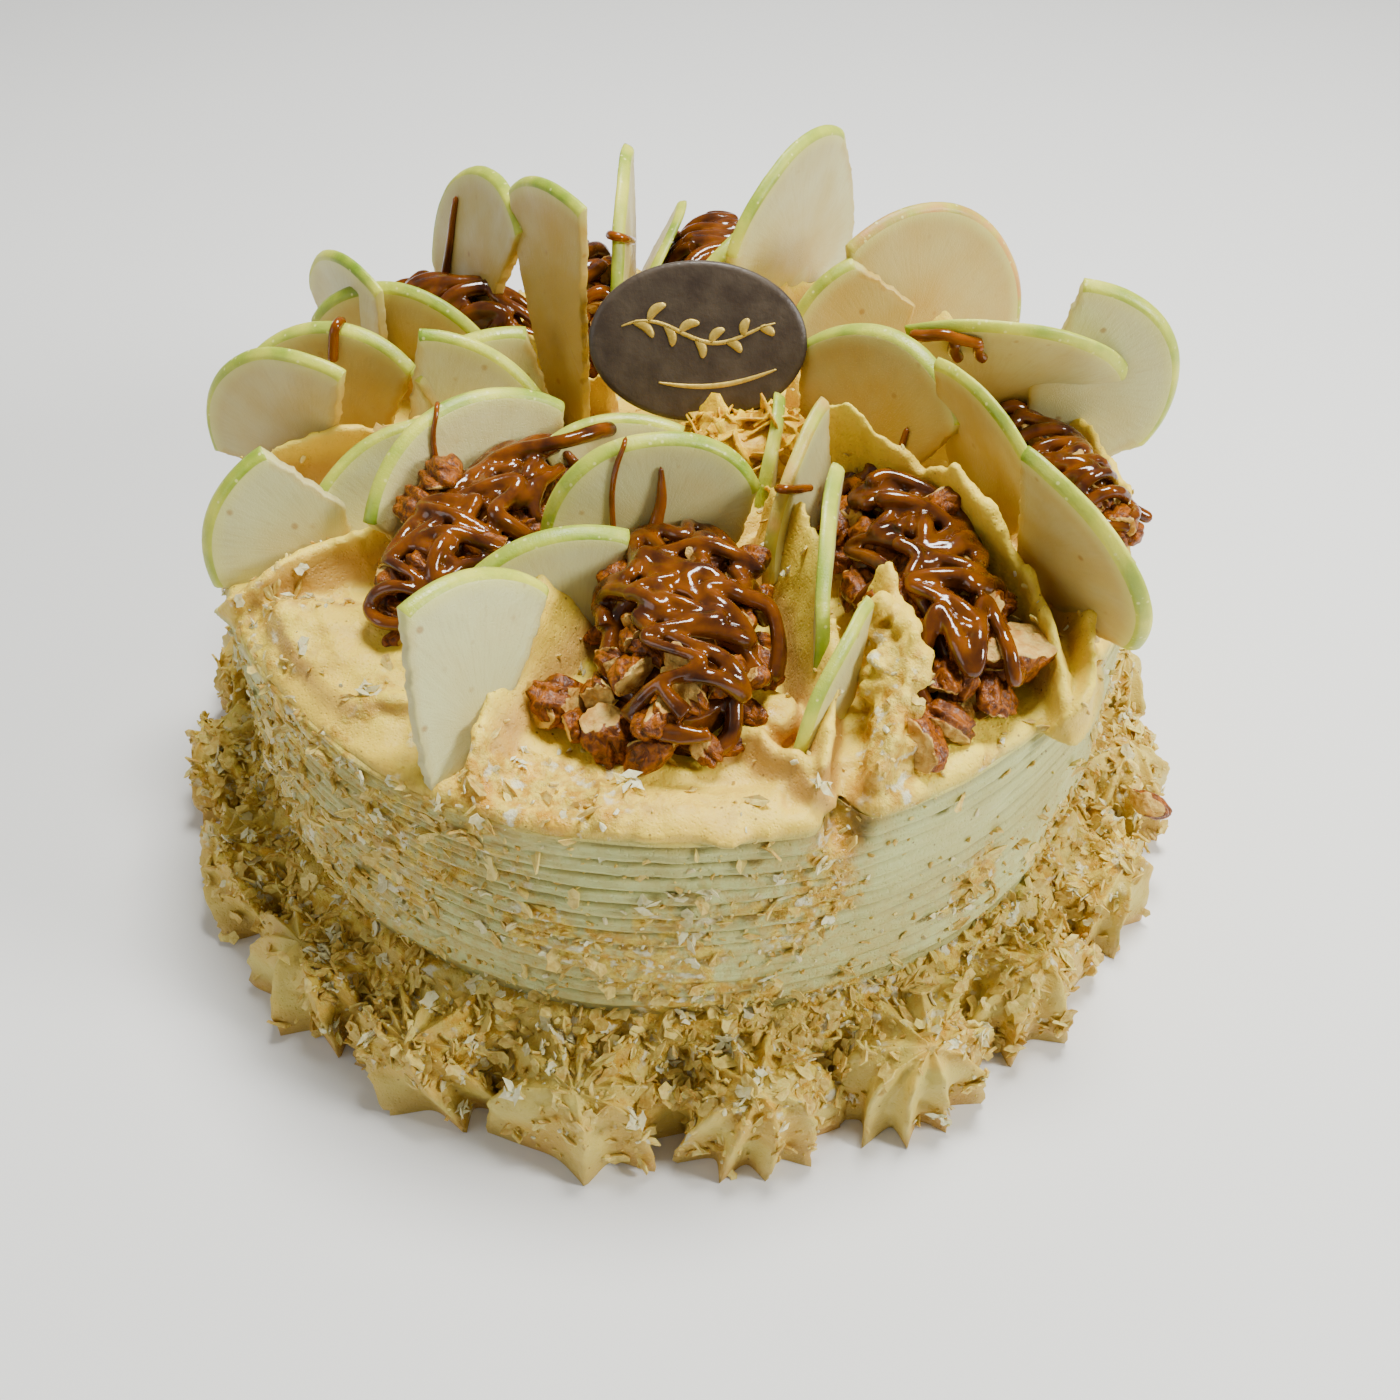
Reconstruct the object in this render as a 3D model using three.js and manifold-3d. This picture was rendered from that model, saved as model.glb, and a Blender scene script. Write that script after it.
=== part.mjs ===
// A round iced apple cake: combed side, piped star border round the foot, and a top of upright cream
// petals, leaning apple slices, pecan and caramel heaps, wafer flakes and an oval plaque.
// Millimetres, +Z up. The origin is on the cake's axis at its foot, and the shown side faces -Y.
import * as THREE from 'three';
import { mergeVertices } from 'three/addons/utils/BufferGeometryUtils.js';
import Module from 'manifold-3d';

const wasm = await Module();
wasm.setup();

// ---- driving dimensions ------------------------------------------------------------------------
const gap = 0.3;                  // air kept between neighbouring pieces
const cake = {
  radius: 106.6,                  // out to the tops of the comb's ridges
  height: 86,                     // the level top between the petals
  sides: 36,                      // facets round the side
  footRadius: 105.4,              // plain foot behind the border
  combFrom: 31,
  combTo: 83,
  ridges: 12,
  ridgeDepth: 1.2,
  moundRadius: 30,                // soft rise in the middle of the top
  moundHeight: 14,
};
const border = {
  stars: 20,
  ringRadius: 116.5,              // circle through the middle of the stars
  halfWidth: 22.5,                // along the ring
  halfDepth: 15.5,                // across the ring
  height: 26,
  rays: 6,
  peakLean: 4,                    // how far the peaks lean out
  flakes: 20,
};
const sliceThickness = 2.6;
const sideFlakes = 8;             // the largest of the crumbs that stick to the side
const waferFlakes = 5;
const plaque = { halfWidth: 25, halfHeight: 18, thickness: 3.4, bevel: 0.7, leanBack: 24 };
const caramelRadius = 1.7;        // a thick thread of caramel
const flake = { length: 7, width: 4.6, thickness: 1.6 };

// ---- colours -----------------------------------------------------------------------------------
const finish = {
  cream: { color: 0xd9c797, roughness: 0.62 },
  apple: { color: 0xd3d8a4, roughness: 0.45 },
  pecan: { color: 0x7a4420, roughness: 0.28 },
  chocolate: { color: 0x3d2c29, roughness: 0.5 },
  wafer: { color: 0xd9a95c, roughness: 0.8 },
};

// ---- helpers -----------------------------------------------------------------------------------
const group = new THREE.Group();

function addPiece(name, solid, look) {
  const material = new THREE.MeshStandardMaterial({ ...look, metalness: 0 });
  const mesh = new THREE.Mesh(geometryOf(solid), material);
  mesh.name = name;
  group.add(mesh);
}

function seededRandom(seed) {
  let state = seed;
  return () => {
    state = (state + 0x6d2b79f5) | 0;
    let mixed = Math.imul(state ^ (state >>> 15), 1 | state);
    mixed = (mixed + Math.imul(mixed ^ (mixed >>> 7), 61 | mixed)) ^ mixed;
    return ((mixed ^ (mixed >>> 14)) >>> 0) / 4294967296;
  };
}

const radians = THREE.MathUtils.degToRad;
const between = THREE.MathUtils.lerp;

// A closed three.js geometry as a solid, without the triangles that closed up to a line.
function solidOf(geometry) {
  const bare = geometry.index ? geometry.toNonIndexed() : geometry.clone();
  bare.deleteAttribute('normal');
  bare.deleteAttribute('uv');
  const merged = mergeVertices(bare, 1e-4);
  const corners = merged.index.array;
  const kept = [];
  for (let i = 0; i < corners.length; i += 3) {
    const [a, b, c] = [corners[i], corners[i + 1], corners[i + 2]];
    if (a !== b && b !== c && c !== a) kept.push(a, b, c);
  }
  const vertProperties = new Float32Array(merged.attributes.position.array);
  const triVerts = new Uint32Array(kept);
  return new wasm.Manifold(new wasm.Mesh({ numProp: 3, vertProperties, triVerts }));
}

function geometryOf(solid) {
  const mesh = solid.getMesh();
  const geometry = new THREE.BufferGeometry();
  geometry.setAttribute('position', new THREE.BufferAttribute(new Float32Array(mesh.vertProperties), 3));
  geometry.setIndex([...mesh.triVerts]);
  return geometry;
}

// Loose scraps left by a cut are dropped: the piece is its largest body.
function largestBody(solid) {
  const bodies = solid.decompose();
  return bodies.reduce((best, body) => (body.volume() > best.volume() ? body : best));
}

// Moves every vertex of a geometry by a function of its place.
function reshape(geometry, move) {
  const places = geometry.attributes.position;
  const point = new THREE.Vector3();
  for (let i = 0; i < places.count; i += 1) {
    point.fromBufferAttribute(places, i);
    move(point);
    places.setXYZ(i, point.x, point.y, point.z);
  }
  return geometry;
}

function touches(a, b) {
  const boxA = a.boundingBox();
  const boxB = b.boundingBox();
  return [0, 1, 2].every((k) => boxA.min[k] < boxB.max[k] && boxB.min[k] < boxA.max[k]);
}

function cutBy(solid, cutters) {
  return cutters.filter((cutter) => touches(solid, cutter)).reduce((left, cutter) => left.subtract(cutter), solid);
}

// ---- iced cake ---------------------------------------------------------------------------------
function cakeProfile() {
  const points = [new THREE.Vector2(0, 0), new THREE.Vector2(cake.footRadius, 0)];
  points.push(new THREE.Vector2(cake.footRadius, cake.combFrom - 1));
  const pitch = (cake.combTo - cake.combFrom) / cake.ridges;
  for (let ridge = 0; ridge < cake.ridges; ridge += 1) {
    const foot = cake.combFrom + ridge * pitch;
    points.push(new THREE.Vector2(cake.radius - cake.ridgeDepth, foot));
    points.push(new THREE.Vector2(cake.radius, foot + 0.62 * pitch));
  }
  points.push(new THREE.Vector2(cake.radius - 0.9, cake.height + 0.9));
  points.push(new THREE.Vector2(cake.radius - 6, cake.height));
  for (const share of [1.6, 1.1, 0.75, 0.4, 0]) {
    const rise = share > 1.5 ? 0 : cake.moundHeight * Math.exp(-(share ** 4));
    points.push(new THREE.Vector2(share * cake.moundRadius, cake.height + rise));
  }
  return points;
}

function cakeBlock() {
  const lathe = new THREE.LatheGeometry(cakeProfile(), cake.sides).rotateX(Math.PI / 2);
  return solidOf(reshape(lathe, (p) => {
    const turn = Math.atan2(p.y, p.x);
    if (p.z > cake.combFrom && Math.hypot(p.x, p.y) > cake.footRadius - 2) {
      const swell = 1 + 0.004 * Math.sin(3 * turn + 1) + 0.003 * Math.sin(8 * turn + p.z * 0.06);
      p.x *= swell;
      p.y *= swell;
      p.z += 0.7 * Math.sin(2 * turn + 0.6) * (p.z < cake.combTo ? 1 : 0.4);
    }
  }));
}

// The cream's petals stand along arms that sweep from the middle of the top to its rim. Each has
// its two ends in plan, how far it bows to its left, its height at both ends, its width at the foot
// and its lean to the left.
const petals = [
  { from: [-6, -30], to: [-38, -97], bow: -6, high: [20, 5], wide: 18, lean: -0.25 },
  { from: [17, -24], to: [30, -102], bow: 5, high: [20, 8], wide: 16, lean: 0.2 },
  { from: [38, -52], to: [36, -98], bow: 6, high: [22, 6], wide: 16, lean: 0.1 },
  { from: [32, -6], to: [79, -76], bow: 13, high: [31, 4], wide: 16, lean: -0.15 },
  { from: [76, -30], to: [77, -78], bow: 8, high: [13, 5], wide: 14, lean: 0.2 },
  { from: [42, 14], to: [92, -36], bow: 8, high: [18, 6], wide: 15, lean: 0.1 },
  { from: [62, 38], to: [103, -14], bow: 12, high: [13, 9], wide: 15, lean: 0.1 },
  { from: [28, 32], to: [82, 56], bow: 8, high: [20, 12], wide: 16, lean: 0.15 },
  { from: [10, 34], to: [42, 90], bow: 8, high: [18, 8], wide: 15, lean: 0.1 },
  { from: [-4, 36], to: [-12, 96], bow: 6, high: [16, 8], wide: 15, lean: 0 },
  { from: [-16, 26], to: [-60, 84], bow: 6, high: [18, 8], wide: 15, lean: 0.15 },
  { from: [-30, 22], to: [-92, 50], bow: -4, high: [14, 8], wide: 15, lean: 0.2 },
  { from: [-34, 8], to: [-103, 2], bow: -6, high: [15, 12], wide: 20, lean: 0.2 },
  { from: [-30, -16], to: [-98, -44], bow: -8, high: [13, 6], wide: 26, lean: 0.3 },
  { from: [10, -84], to: [27, -98], bow: 3, high: [7, 6], wide: 18, lean: 0 },
];
const petalWall = { foot: 3, crest: 2.2, steps: 5, rows: 2 };

function petalSolid(petal, grow) {
  const start = new THREE.Vector2(...petal.from);
  const end = new THREE.Vector2(...petal.to);
  const left = new THREE.Vector2(start.y - end.y, end.x - start.x).normalize();
  const middle = start.clone().lerp(end, 0.5).addScaledVector(left, 2 * petal.bow);
  const path = new THREE.QuadraticBezierCurve(start, middle, end);
  const box = new THREE.BoxGeometry(1, 1, 1, petalWall.steps, 1, petalWall.rows);
  return solidOf(reshape(box, (p) => {
    const along = p.x + 0.5;
    const up = p.z + 0.5;
    const spot = path.getPoint(along);
    const heading = path.getTangent(along);
    const thinEnds = 0.35 + 0.65 * Math.sqrt(Math.sin(Math.PI * between(0.04, 0.96, along)));
    const lobes = 1 + 0.1 * Math.sin(along * 15 + start.x);
    const rise = between(petal.high[0], petal.high[1], along ** 2.4) * lobes;
    const wall = between(petal.wide, petalWall.crest, up ** 0.6) * thinEnds + 2 * grow;
    const aside = p.y * wall + petal.lean * rise * up * up;
    p.x = spot.x - heading.y * aside;
    p.y = spot.y + heading.x * aside;
    p.z = cake.height - petalWall.foot + up * (petalWall.foot + rise + grow);
  }));
}

// ---- apple slices ------------------------------------------------------------------------------
// A slice is part of a thin disc. `at` is the disc's centre, `faces` the compass angle that its face
// looks to, `tilt` how far the face looks up, `arc` the stretch that still has its rind, counted
// from the level, and `cut` the corners of its cut edge, across and up from the centre.
const slices = [
  { at: [-88, 10, 89], faces: -110, tilt: 0, radius: 29.5, arc: [65, 188], cut: [[4, -5]] },
  { at: [-82, 23, 87], faces: -105, tilt: 5, radius: 29.5, arc: [48, 160], cut: [[-10, -1], [9, -1]] },
  { at: [-61, 15, 87], faces: -92, tilt: 5, radius: 33, arc: [18, 89], cut: [[-6, 0], [12, -1]] },
  { at: [-41, 17, 89], faces: -77, tilt: 11, radius: 29.5, arc: [78, 138], cut: [[-12, 0], [12, 3]] },
  { at: [-42, -16, 88], faces: -55, tilt: 15, radius: 33, arc: [46, 155], cut: [[-20, 2], [16, 2]] },
  { at: [-53, -21, 81], faces: -72, tilt: 25, radius: 34.5, arc: [84, 148], cut: [[-24, 9], [4, 6]] },
  { at: [-77, -25, 90], faces: -72, tilt: 13, radius: 28, arc: [113, 190], cut: [[-12, -7], [4, -4], [4, 10]] },
  { at: [-80, 48, 94], faces: -139, tilt: -3, radius: 28, arc: [62, 160], cut: [[-18, -6], [8, -6]] },
  { at: [-68, 45, 89], faces: -107, tilt: -9, radius: 29.5, arc: [42, 148], cut: [[-18, 0], [14, -1]] },
  { at: [-50, 58, 106], faces: -151, tilt: 10, radius: 31.5, arc: [54, 188], cut: [[-18, -18], [-8, -23]] },
  { at: [-29, 31, 111], faces: -143, tilt: 4, radius: 36.5, arc: [76, 131], cut: [[-16, 8], [2, -27], [12, -27]] },
  { at: [-14, 84, 102], faces: -4, tilt: 0, radius: 31, arc: [78, 180], cut: [[-24, -12], [2, -12]] },
  { at: [-13, 85, 92], faces: 175, tilt: 25, radius: 30, arc: [0, 95], cut: [[-3, 2], [20, -4]] },
  { at: [31, 83, 105], faces: -37, tilt: -3, radius: 34, arc: [59, 158], cut: [[-24, -14], [30, -14], [25, 11]] },
  { at: [20, 72, 94], faces: -45, tilt: 0, radius: 27.5, arc: [20, 142], cut: [[-16, -2], [20, -2]] },
  { at: [60, 54, 100], faces: -67, tilt: 9, radius: 32, arc: [-12, 128], cut: [[-16, -10], [22, -12]] },
  { at: [53, 46, 96], faces: -82, tilt: 8, radius: 29, arc: [112, 158], cut: [[-20, -2], [2, -2], [6, 14]] },
  { at: [89, 18, 106], faces: -97, tilt: -2, radius: 29, arc: [-32, 87], cut: [[-1, 16], [-6, 0], [-3, -22], [9, -23]] },
  { at: [73, 24, 99], faces: -97, tilt: -30, radius: 35.5, arc: [2, 126], cut: [[-14, 0], [-8, -17], [16, -17]] },
  { at: [43, 0, 100], faces: -130, tilt: 11, radius: 29, arc: [36, 140], cut: [[-14, -15], [4, -16], [18, 8]] },
  { at: [67, -12, 97], faces: -150, tilt: -15, radius: 35, arc: [33, 106], cut: [[-7, -12], [8, -14], [20, 6]] },
  { at: [74, -38, 103], faces: -147, tilt: -18, radius: 32, arc: [-24, 84], cut: [[-2, -4], [6, -14]] },
  { at: [-5, -34, 101], faces: -79, tilt: 5, radius: 25, arc: [22, 184], cut: [[-18, -14], [14, -14]] },
  { at: [-12, -18, 86], faces: -85, tilt: 24, radius: 30, arc: [62, 128], cut: [[-12, 8], [8, 8]] },
  { at: [-22, -52, 80], faces: -74, tilt: 8, radius: 33.5, arc: [66, 136], cut: [[-14, 8], [6, 8]] },
  { at: [-39, -82, 92], faces: -44, tilt: 19, radius: 31, arc: [33, 104], cut: [[-13, 8], [-15, -7], [-2, -5], [10, 3]] },
  { at: [33, -15, 92], faces: -28, tilt: 3, radius: 32, arc: [92, 176], cut: [[-14, -3], [0, 4]] },
  { at: [32, -40, 87], faces: -12, tilt: 0, radius: 34, arc: [80, 165], cut: [[-20, 0], [-4, 8]] },
  { at: [38, -64, 79], faces: -29, tilt: 0, radius: 32, arc: [92, 160], cut: [[-22, 5], [-6, 9]] },
  { at: [23, 8, 86], faces: -8, tilt: 0, radius: 27, arc: [98, 160], cut: [[-18, 2], [-2, 8]] },
];
const arcSteps = 6;

function sliceOutline(slice, grow) {
  const corners = [];
  for (let step = 0; step <= arcSteps; step += 1) {
    const angle = radians(between(slice.arc[0], slice.arc[1], step / arcSteps));
    corners.push(new THREE.Vector2(Math.cos(angle), Math.sin(angle)).multiplyScalar(slice.radius));
  }
  for (const [across, up] of slice.cut) corners.push(new THREE.Vector2(across, up));
  const centre = new THREE.Vector2();
  for (const corner of corners) centre.addScaledVector(corner, 1 / corners.length);
  return corners.map((corner) => {
    const out = corner.clone().sub(centre).normalize();
    return corner.addScaledVector(out, 1.3 * grow);
  });
}

function sliceSolid(slice, index, grow) {
  const thickness = sliceThickness + 0.5 * Math.sin(index * 2.4) + 2 * grow;
  const shape = new THREE.Shape(sliceOutline(slice, grow));
  const plate = new THREE.ExtrudeGeometry(shape, { depth: thickness, bevelEnabled: false, steps: 1 });
  plate.translate(0, 0, -thickness / 2);
  const turn = radians(slice.faces);
  const tilt = radians(slice.tilt);
  const level = new THREE.Vector3(-Math.sin(turn), Math.cos(turn), 0);
  const face = new THREE.Vector3(Math.cos(turn) * Math.cos(tilt), Math.sin(turn) * Math.cos(tilt), Math.sin(tilt));
  const upward = new THREE.Vector3().crossVectors(face, level);
  const placing = new THREE.Matrix4().makeBasis(level, upward, face).setPosition(...slice.at);
  return solidOf(plate.applyMatrix4(placing));
}

// ---- pecan and caramel heaps -------------------------------------------------------------------
// A heap lies in the well between two petals: its middle in plan, its length, width and height, the
// compass angle of its length, and its counts of showing nut pieces and caramel threads.
const heaps = [
  { name: 'pecan_heap_front', at: [-1, -59], size: [66, 42, 20], turn: -86, nuts: 8, threads: 3, seed: 3 },
  { name: 'pecan_heap_right', at: [51, -42], size: [82, 32, 19], turn: -74, nuts: 7, threads: 2, seed: 11 },
  { name: 'pecan_heap_left', at: [-41, -28], size: [76, 30, 20], turn: -124, nuts: 6, threads: 2, seed: 5 },
  { name: 'pecan_heap_far_right', at: [88, 3], size: [58, 18, 12], turn: -58, nuts: 3, threads: 1, seed: 8 },
  { name: 'pecan_heap_far_left', at: [-54, 56], size: [58, 20, 20], turn: 152, nuts: 3, threads: 1, seed: 21 },
  { name: 'pecan_heap_back_left', at: [-26, 72], size: [56, 20, 22], turn: 102, nuts: 3, threads: 1, seed: 13 },
  { name: 'pecan_heap_back_right', at: [9, 78], size: [48, 28, 24], turn: 84, nuts: 3, threads: 1, seed: 17 },
];

function nutSolid(size, at, random) {
  const nut = new THREE.BoxGeometry(1.5, 1.4, 1.3);
  reshape(nut, (p) => {
    p.x *= p.z > 0 ? 0.7 : 1;
    p.y *= p.x > 0 ? 0.75 : 1;
  });
  nut.scale(size * between(0.8, 1.3, random()), size * between(0.6, 0.9, random()), size * between(0.6, 0.9, random()));
  nut.rotateX(random() * Math.PI);
  nut.rotateZ(random() * Math.PI);
  return solidOf(nut.translate(at.x, at.y, at.z));
}

function threadSolid(points, radius) {
  const path = new THREE.CatmullRomCurve3(points);
  const ring = new THREE.Shape();
  ring.absarc(0, 0, radius, 0, 2 * Math.PI);
  const tube = { steps: 2 * (points.length - 1), extrudePath: path, curveSegments: 2, bevelEnabled: false };
  return solidOf(new THREE.ExtrudeGeometry(ring, tube));
}

// A flat-bottomed mound with a broad back.
function domeGeometry(halfLength, halfWidth, height) {
  const outline = [[0, 0], [1, 0], [0.93, 0.5], [0.68, 0.88], [0, 1]].map(([r, z]) => new THREE.Vector2(r, z));
  return new THREE.LatheGeometry(outline, 9).rotateX(Math.PI / 2).scale(halfLength, halfWidth, height);
}

function heapSolid(heap) {
  const random = seededRandom(heap.seed);
  const [length, width, height] = heap.size;
  const turn = radians(heap.turn);
  const spotOn = (along, across, lift) => {
    const inward = Math.max(0, 1 - (along * along + across * across) ** 2);
    const x = along * length / 2;
    const y = across * width / 2;
    const z = cake.height + height * Math.sqrt(inward) + lift;
    return new THREE.Vector3(
      heap.at[0] + x * Math.cos(turn) - y * Math.sin(turn),
      heap.at[1] + x * Math.sin(turn) + y * Math.cos(turn),
      z,
    );
  };
  const parts = [solidOf(domeGeometry(length / 2, width / 2, height).rotateZ(turn).translate(
    heap.at[0],
    heap.at[1],
    cake.height + gap,
  ))];
  for (let nut = 0; nut < heap.nuts; nut += 1) {
    const out = 0.96 * Math.sqrt((nut + 0.5) / heap.nuts);
    const around = nut * 2.4 + random();
    parts.push(nutSolid(between(4.5, 7, random()), spotOn(out * Math.cos(around), out * Math.sin(around), 0), random));
  }
  for (let thread = 0; thread < heap.threads; thread += 1) {
    const middle = between(-0.55, 0.55, (thread + 0.5) / heap.threads);
    const points = [-0.72, -0.25, 0.25, 0.72].map((across, k) => {
      const along = middle + 0.3 * Math.sin(k * 2 + thread) + 0.1 * random();
      return spotOn(THREE.MathUtils.clamp(along, -0.68, 0.68), 0.9 * across, 2.2 + random());
    });
    parts.push(threadSolid(points, caramelRadius));
  }
  return wasm.Manifold.union(parts);
}

// ---- plaque, wafer flakes, border --------------------------------------------------------------
const plaqueFoot = new THREE.Vector3(4, 7, cake.height + 17);

function plaqueSolid(grow) {
  const oval = new THREE.Shape();
  const bevel = plaque.bevel;
  oval.absellipse(0, 0, plaque.halfWidth - bevel + grow, plaque.halfHeight - bevel + grow, 0, 2 * Math.PI);
  const depth = plaque.thickness - 2 * bevel + 2 * grow;
  const rounded = { depth, bevelThickness: bevel, bevelSize: bevel, bevelSegments: 1, curveSegments: 9 };
  const plate = new THREE.ExtrudeGeometry(oval, rounded).translate(0, plaque.halfHeight, -depth / 2);
  plate.rotateX(radians(90 - plaque.leanBack));
  return solidOf(plate.translate(plaqueFoot.x, plaqueFoot.y, plaqueFoot.z));
}

function flakeSolid(at, size, random) {
  const chip = new THREE.BoxGeometry(flake.length, flake.width, flake.thickness);
  const bend = between(-0.5, 0.5, random());
  reshape(chip, (p) => {
    p.x += p.y * bend;
    p.y *= p.x > 0 ? 0.6 : 1;
  });
  chip.scale(size, size, size);
  chip.rotateX(random() * Math.PI).rotateY(random() * Math.PI).rotateZ(random() * Math.PI);
  return solidOf(chip.translate(at.x, at.y, at.z));
}

function waferHeap() {
  const random = seededRandom(29);
  const parts = [solidOf(domeGeometry(17, 9, 12).rotateZ(0.2).translate(14, 0, cake.height + 11))];
  for (let chip = 0; chip < waferFlakes; chip += 1) {
    const along = between(-14, 14, random());
    const across = between(-5, 5, random());
    const at = new THREE.Vector3(14 + along, across + 0.2 * along, cake.height + 23 - 0.02 * along * along);
    parts.push(flakeSolid(at, between(0.9, 1.4, random()), random));
  }
  return wasm.Manifold.union(parts);
}

function starSolid(turn, random) {
  const swell = between(0.93, 1.06, random());
  const twist = random() * Math.PI;
  const tall = border.height * between(0.88, 1.05, random());
  const cone = new THREE.ConeGeometry(1, 1, 2 * border.rays, 2).rotateX(Math.PI / 2).translate(0, 0, 0.5);
  reshape(cone, (p) => {
    const fromPeak = Math.hypot(p.x, p.y);
    const around = Math.atan2(p.y, p.x);
    const ray = Math.cos(border.rays * around) > 0 ? 1 : 0.78;
    const bulge = fromPeak > 0 ? fromPeak ** 0.6 * ray / fromPeak : 0;
    const footTuck = p.z < 0.1 ? 0.9 : 1;
    const across = p.x * bulge * footTuck;
    const along = p.y * bulge * footTuck;
    p.x = (across * Math.cos(twist) - along * Math.sin(twist)) * border.halfDepth * swell;
    p.x += border.peakLean * p.z;
    p.y = (across * Math.sin(twist) + along * Math.cos(twist)) * border.halfWidth * swell;
    p.z *= tall;
  });
  cone.translate(border.ringRadius + between(-1, 1, random()), 0, 0);
  return solidOf(cone.rotateZ(turn));
}

function borderSolid() {
  const random = seededRandom(41);
  const inner = cake.footRadius - 1;
  const band = [[inner, 0], [119, 0], [119, 9], [113, 23], [inner, cake.combFrom - 2], [inner, 0]];
  const closed = band.map(([r, z]) => new THREE.Vector2(r, z));
  const parts = [solidOf(new THREE.LatheGeometry(closed, cake.sides).rotateX(Math.PI / 2))];
  for (let star = 0; star < border.stars; star += 1) {
    parts.push(starSolid((star + 0.45) * 2 * Math.PI / border.stars, random));
  }
  for (let chip = 0; chip < border.flakes; chip += 1) {
    const out = random();
    const turn = (chip + 0.5 * random()) * 2 * Math.PI / border.flakes;
    const r = between(110, 121, out);
    const at = new THREE.Vector3(r * Math.cos(turn), r * Math.sin(turn), between(28, 19, out));
    parts.push(flakeSolid(at, between(0.9, 1.4, random()), random));
  }
  const hole = new THREE.CylinderGeometry(1, 1, 1, cake.sides).rotateX(Math.PI / 2);
  const facing = cake.footRadius + gap;
  hole.scale(facing, facing, 3 * cake.height).rotateZ(Math.PI / 2);
  return largestBody(wasm.Manifold.union(parts).subtract(solidOf(hole)));
}

// ---- assembly ----------------------------------------------------------------------------------
function flakesOnSide() {
  const random = seededRandom(53);
  const chips = [];
  for (let chip = 0; chip < sideFlakes; chip += 1) {
    const turn = (chip + random()) * 2 * Math.PI / sideFlakes;
    const z = between(34, 82, random() ** 1.6);
    const at = new THREE.Vector3(cake.radius * Math.cos(turn), cake.radius * Math.sin(turn), z);
    chips.push(flakeSolid(at, between(0.6, 1, random()), random));
  }
  return chips;
}

const block = cakeBlock();
const petalSolids = petals.map((petal) => petalSolid(petal, 0));
const sliceSlots = slices.map((slice, index) => sliceSolid(slice, index, gap));
const plaqueSlot = plaqueSolid(gap);
const raisedBlock = block.translate([0, 0, gap]);
const petalSlots = petals.map((petal) => petalSolid(petal, gap));

const iced = wasm.Manifold.union([block, ...petalSolids, ...flakesOnSide()]);
addPiece('iced_cake', largestBody(cutBy(iced, [...sliceSlots, plaqueSlot])), finish.cream);
addPiece('piped_border', borderSolid(), finish.cream);

slices.forEach((slice, index) => {
  const nearer = sliceSlots.slice(0, index);
  const solid = largestBody(cutBy(sliceSolid(slice, index, 0), [...nearer, plaqueSlot]));
  addPiece(`apple_slice_${String(index + 1).padStart(2, '0')}`, solid, finish.apple);
});

const settled = [raisedBlock, ...petalSlots, ...sliceSlots, plaqueSlot];
for (const heap of heaps) addPiece(heap.name, largestBody(cutBy(heapSolid(heap), settled)), finish.pecan);
addPiece('wafer_heap', largestBody(cutBy(waferHeap(), settled)), finish.wafer);
addPiece('oval_plaque', plaqueSolid(0), finish.chocolate);

export default group;
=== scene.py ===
import math
import bmesh
import bpy
import numpy as np
from mathutils import Matrix, Vector


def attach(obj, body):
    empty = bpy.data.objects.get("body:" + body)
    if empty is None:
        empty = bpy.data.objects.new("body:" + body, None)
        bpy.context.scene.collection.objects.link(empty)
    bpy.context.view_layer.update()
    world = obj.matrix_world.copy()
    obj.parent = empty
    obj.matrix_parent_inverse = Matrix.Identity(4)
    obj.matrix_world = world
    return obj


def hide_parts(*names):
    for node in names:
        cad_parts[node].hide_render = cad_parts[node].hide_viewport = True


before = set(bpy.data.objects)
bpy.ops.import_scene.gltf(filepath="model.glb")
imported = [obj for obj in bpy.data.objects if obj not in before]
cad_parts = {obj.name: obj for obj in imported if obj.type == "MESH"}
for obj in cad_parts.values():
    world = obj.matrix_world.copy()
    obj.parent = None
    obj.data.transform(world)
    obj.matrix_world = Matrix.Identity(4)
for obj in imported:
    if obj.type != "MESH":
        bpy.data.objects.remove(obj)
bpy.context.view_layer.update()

# Lengths are in millimetres until a mesh is made. -Y is the side that is shown, +X its right.
metresPerMm = 0.001
rotateFull = 2 * math.pi


# Small helpers
def hashed(ix, iy, iz, seed):
    h = ix * 374761393 + iy * 668265263 + iz * 1274126177 + seed * 362437
    h = (h ^ (h >> 13)) * 1274126177
    return ((h ^ (h >> 16)) & 0xFFFF) / 32767.5 - 1


def softNoise(points, size, seed=0):  # smooth bumps from -1 to 1, about that size across
    p = np.asarray(points, float) / size
    base = np.floor(p).astype(np.int64)
    f = p - base
    f = f * f * (3 - 2 * f)
    shares = [(1 - f[..., axis], f[..., axis]) for axis in range(3)]
    total = 0
    for dx, dy, dz in np.ndindex(2, 2, 2):
        weight = shares[0][dx] * shares[1][dy] * shares[2][dz]
        total = total + weight * hashed(base[..., 0] + dx, base[..., 1] + dy, base[..., 2] + dz, seed)
    return total


def held(value):  # no less than 0 and no more than 1
    return np.clip(value, 0, 1)


def smoothStep(low, high, value):
    t = held((value - low) / (high - low))
    return t * t * (3 - 2 * t)


def bell(value, middle, width, power=2):  # 1 at the middle, and 0 well away from it
    return np.exp(-((value - middle) / width) ** power)


def evenTurns(count):
    return np.arange(count) * rotateFull / count


def unit(vectors):
    return vectors / (np.linalg.norm(vectors, axis=1, keepdims=True) + 1e-9)


def turned(x, y, angle):
    return x * math.cos(angle) - y * math.sin(angle), x * math.sin(angle) + y * math.cos(angle)


def roundPlace(r, turn, z):  # places round the cake's axis
    return np.stack([r * np.cos(turn), r * np.sin(turn), z], -1)


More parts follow.
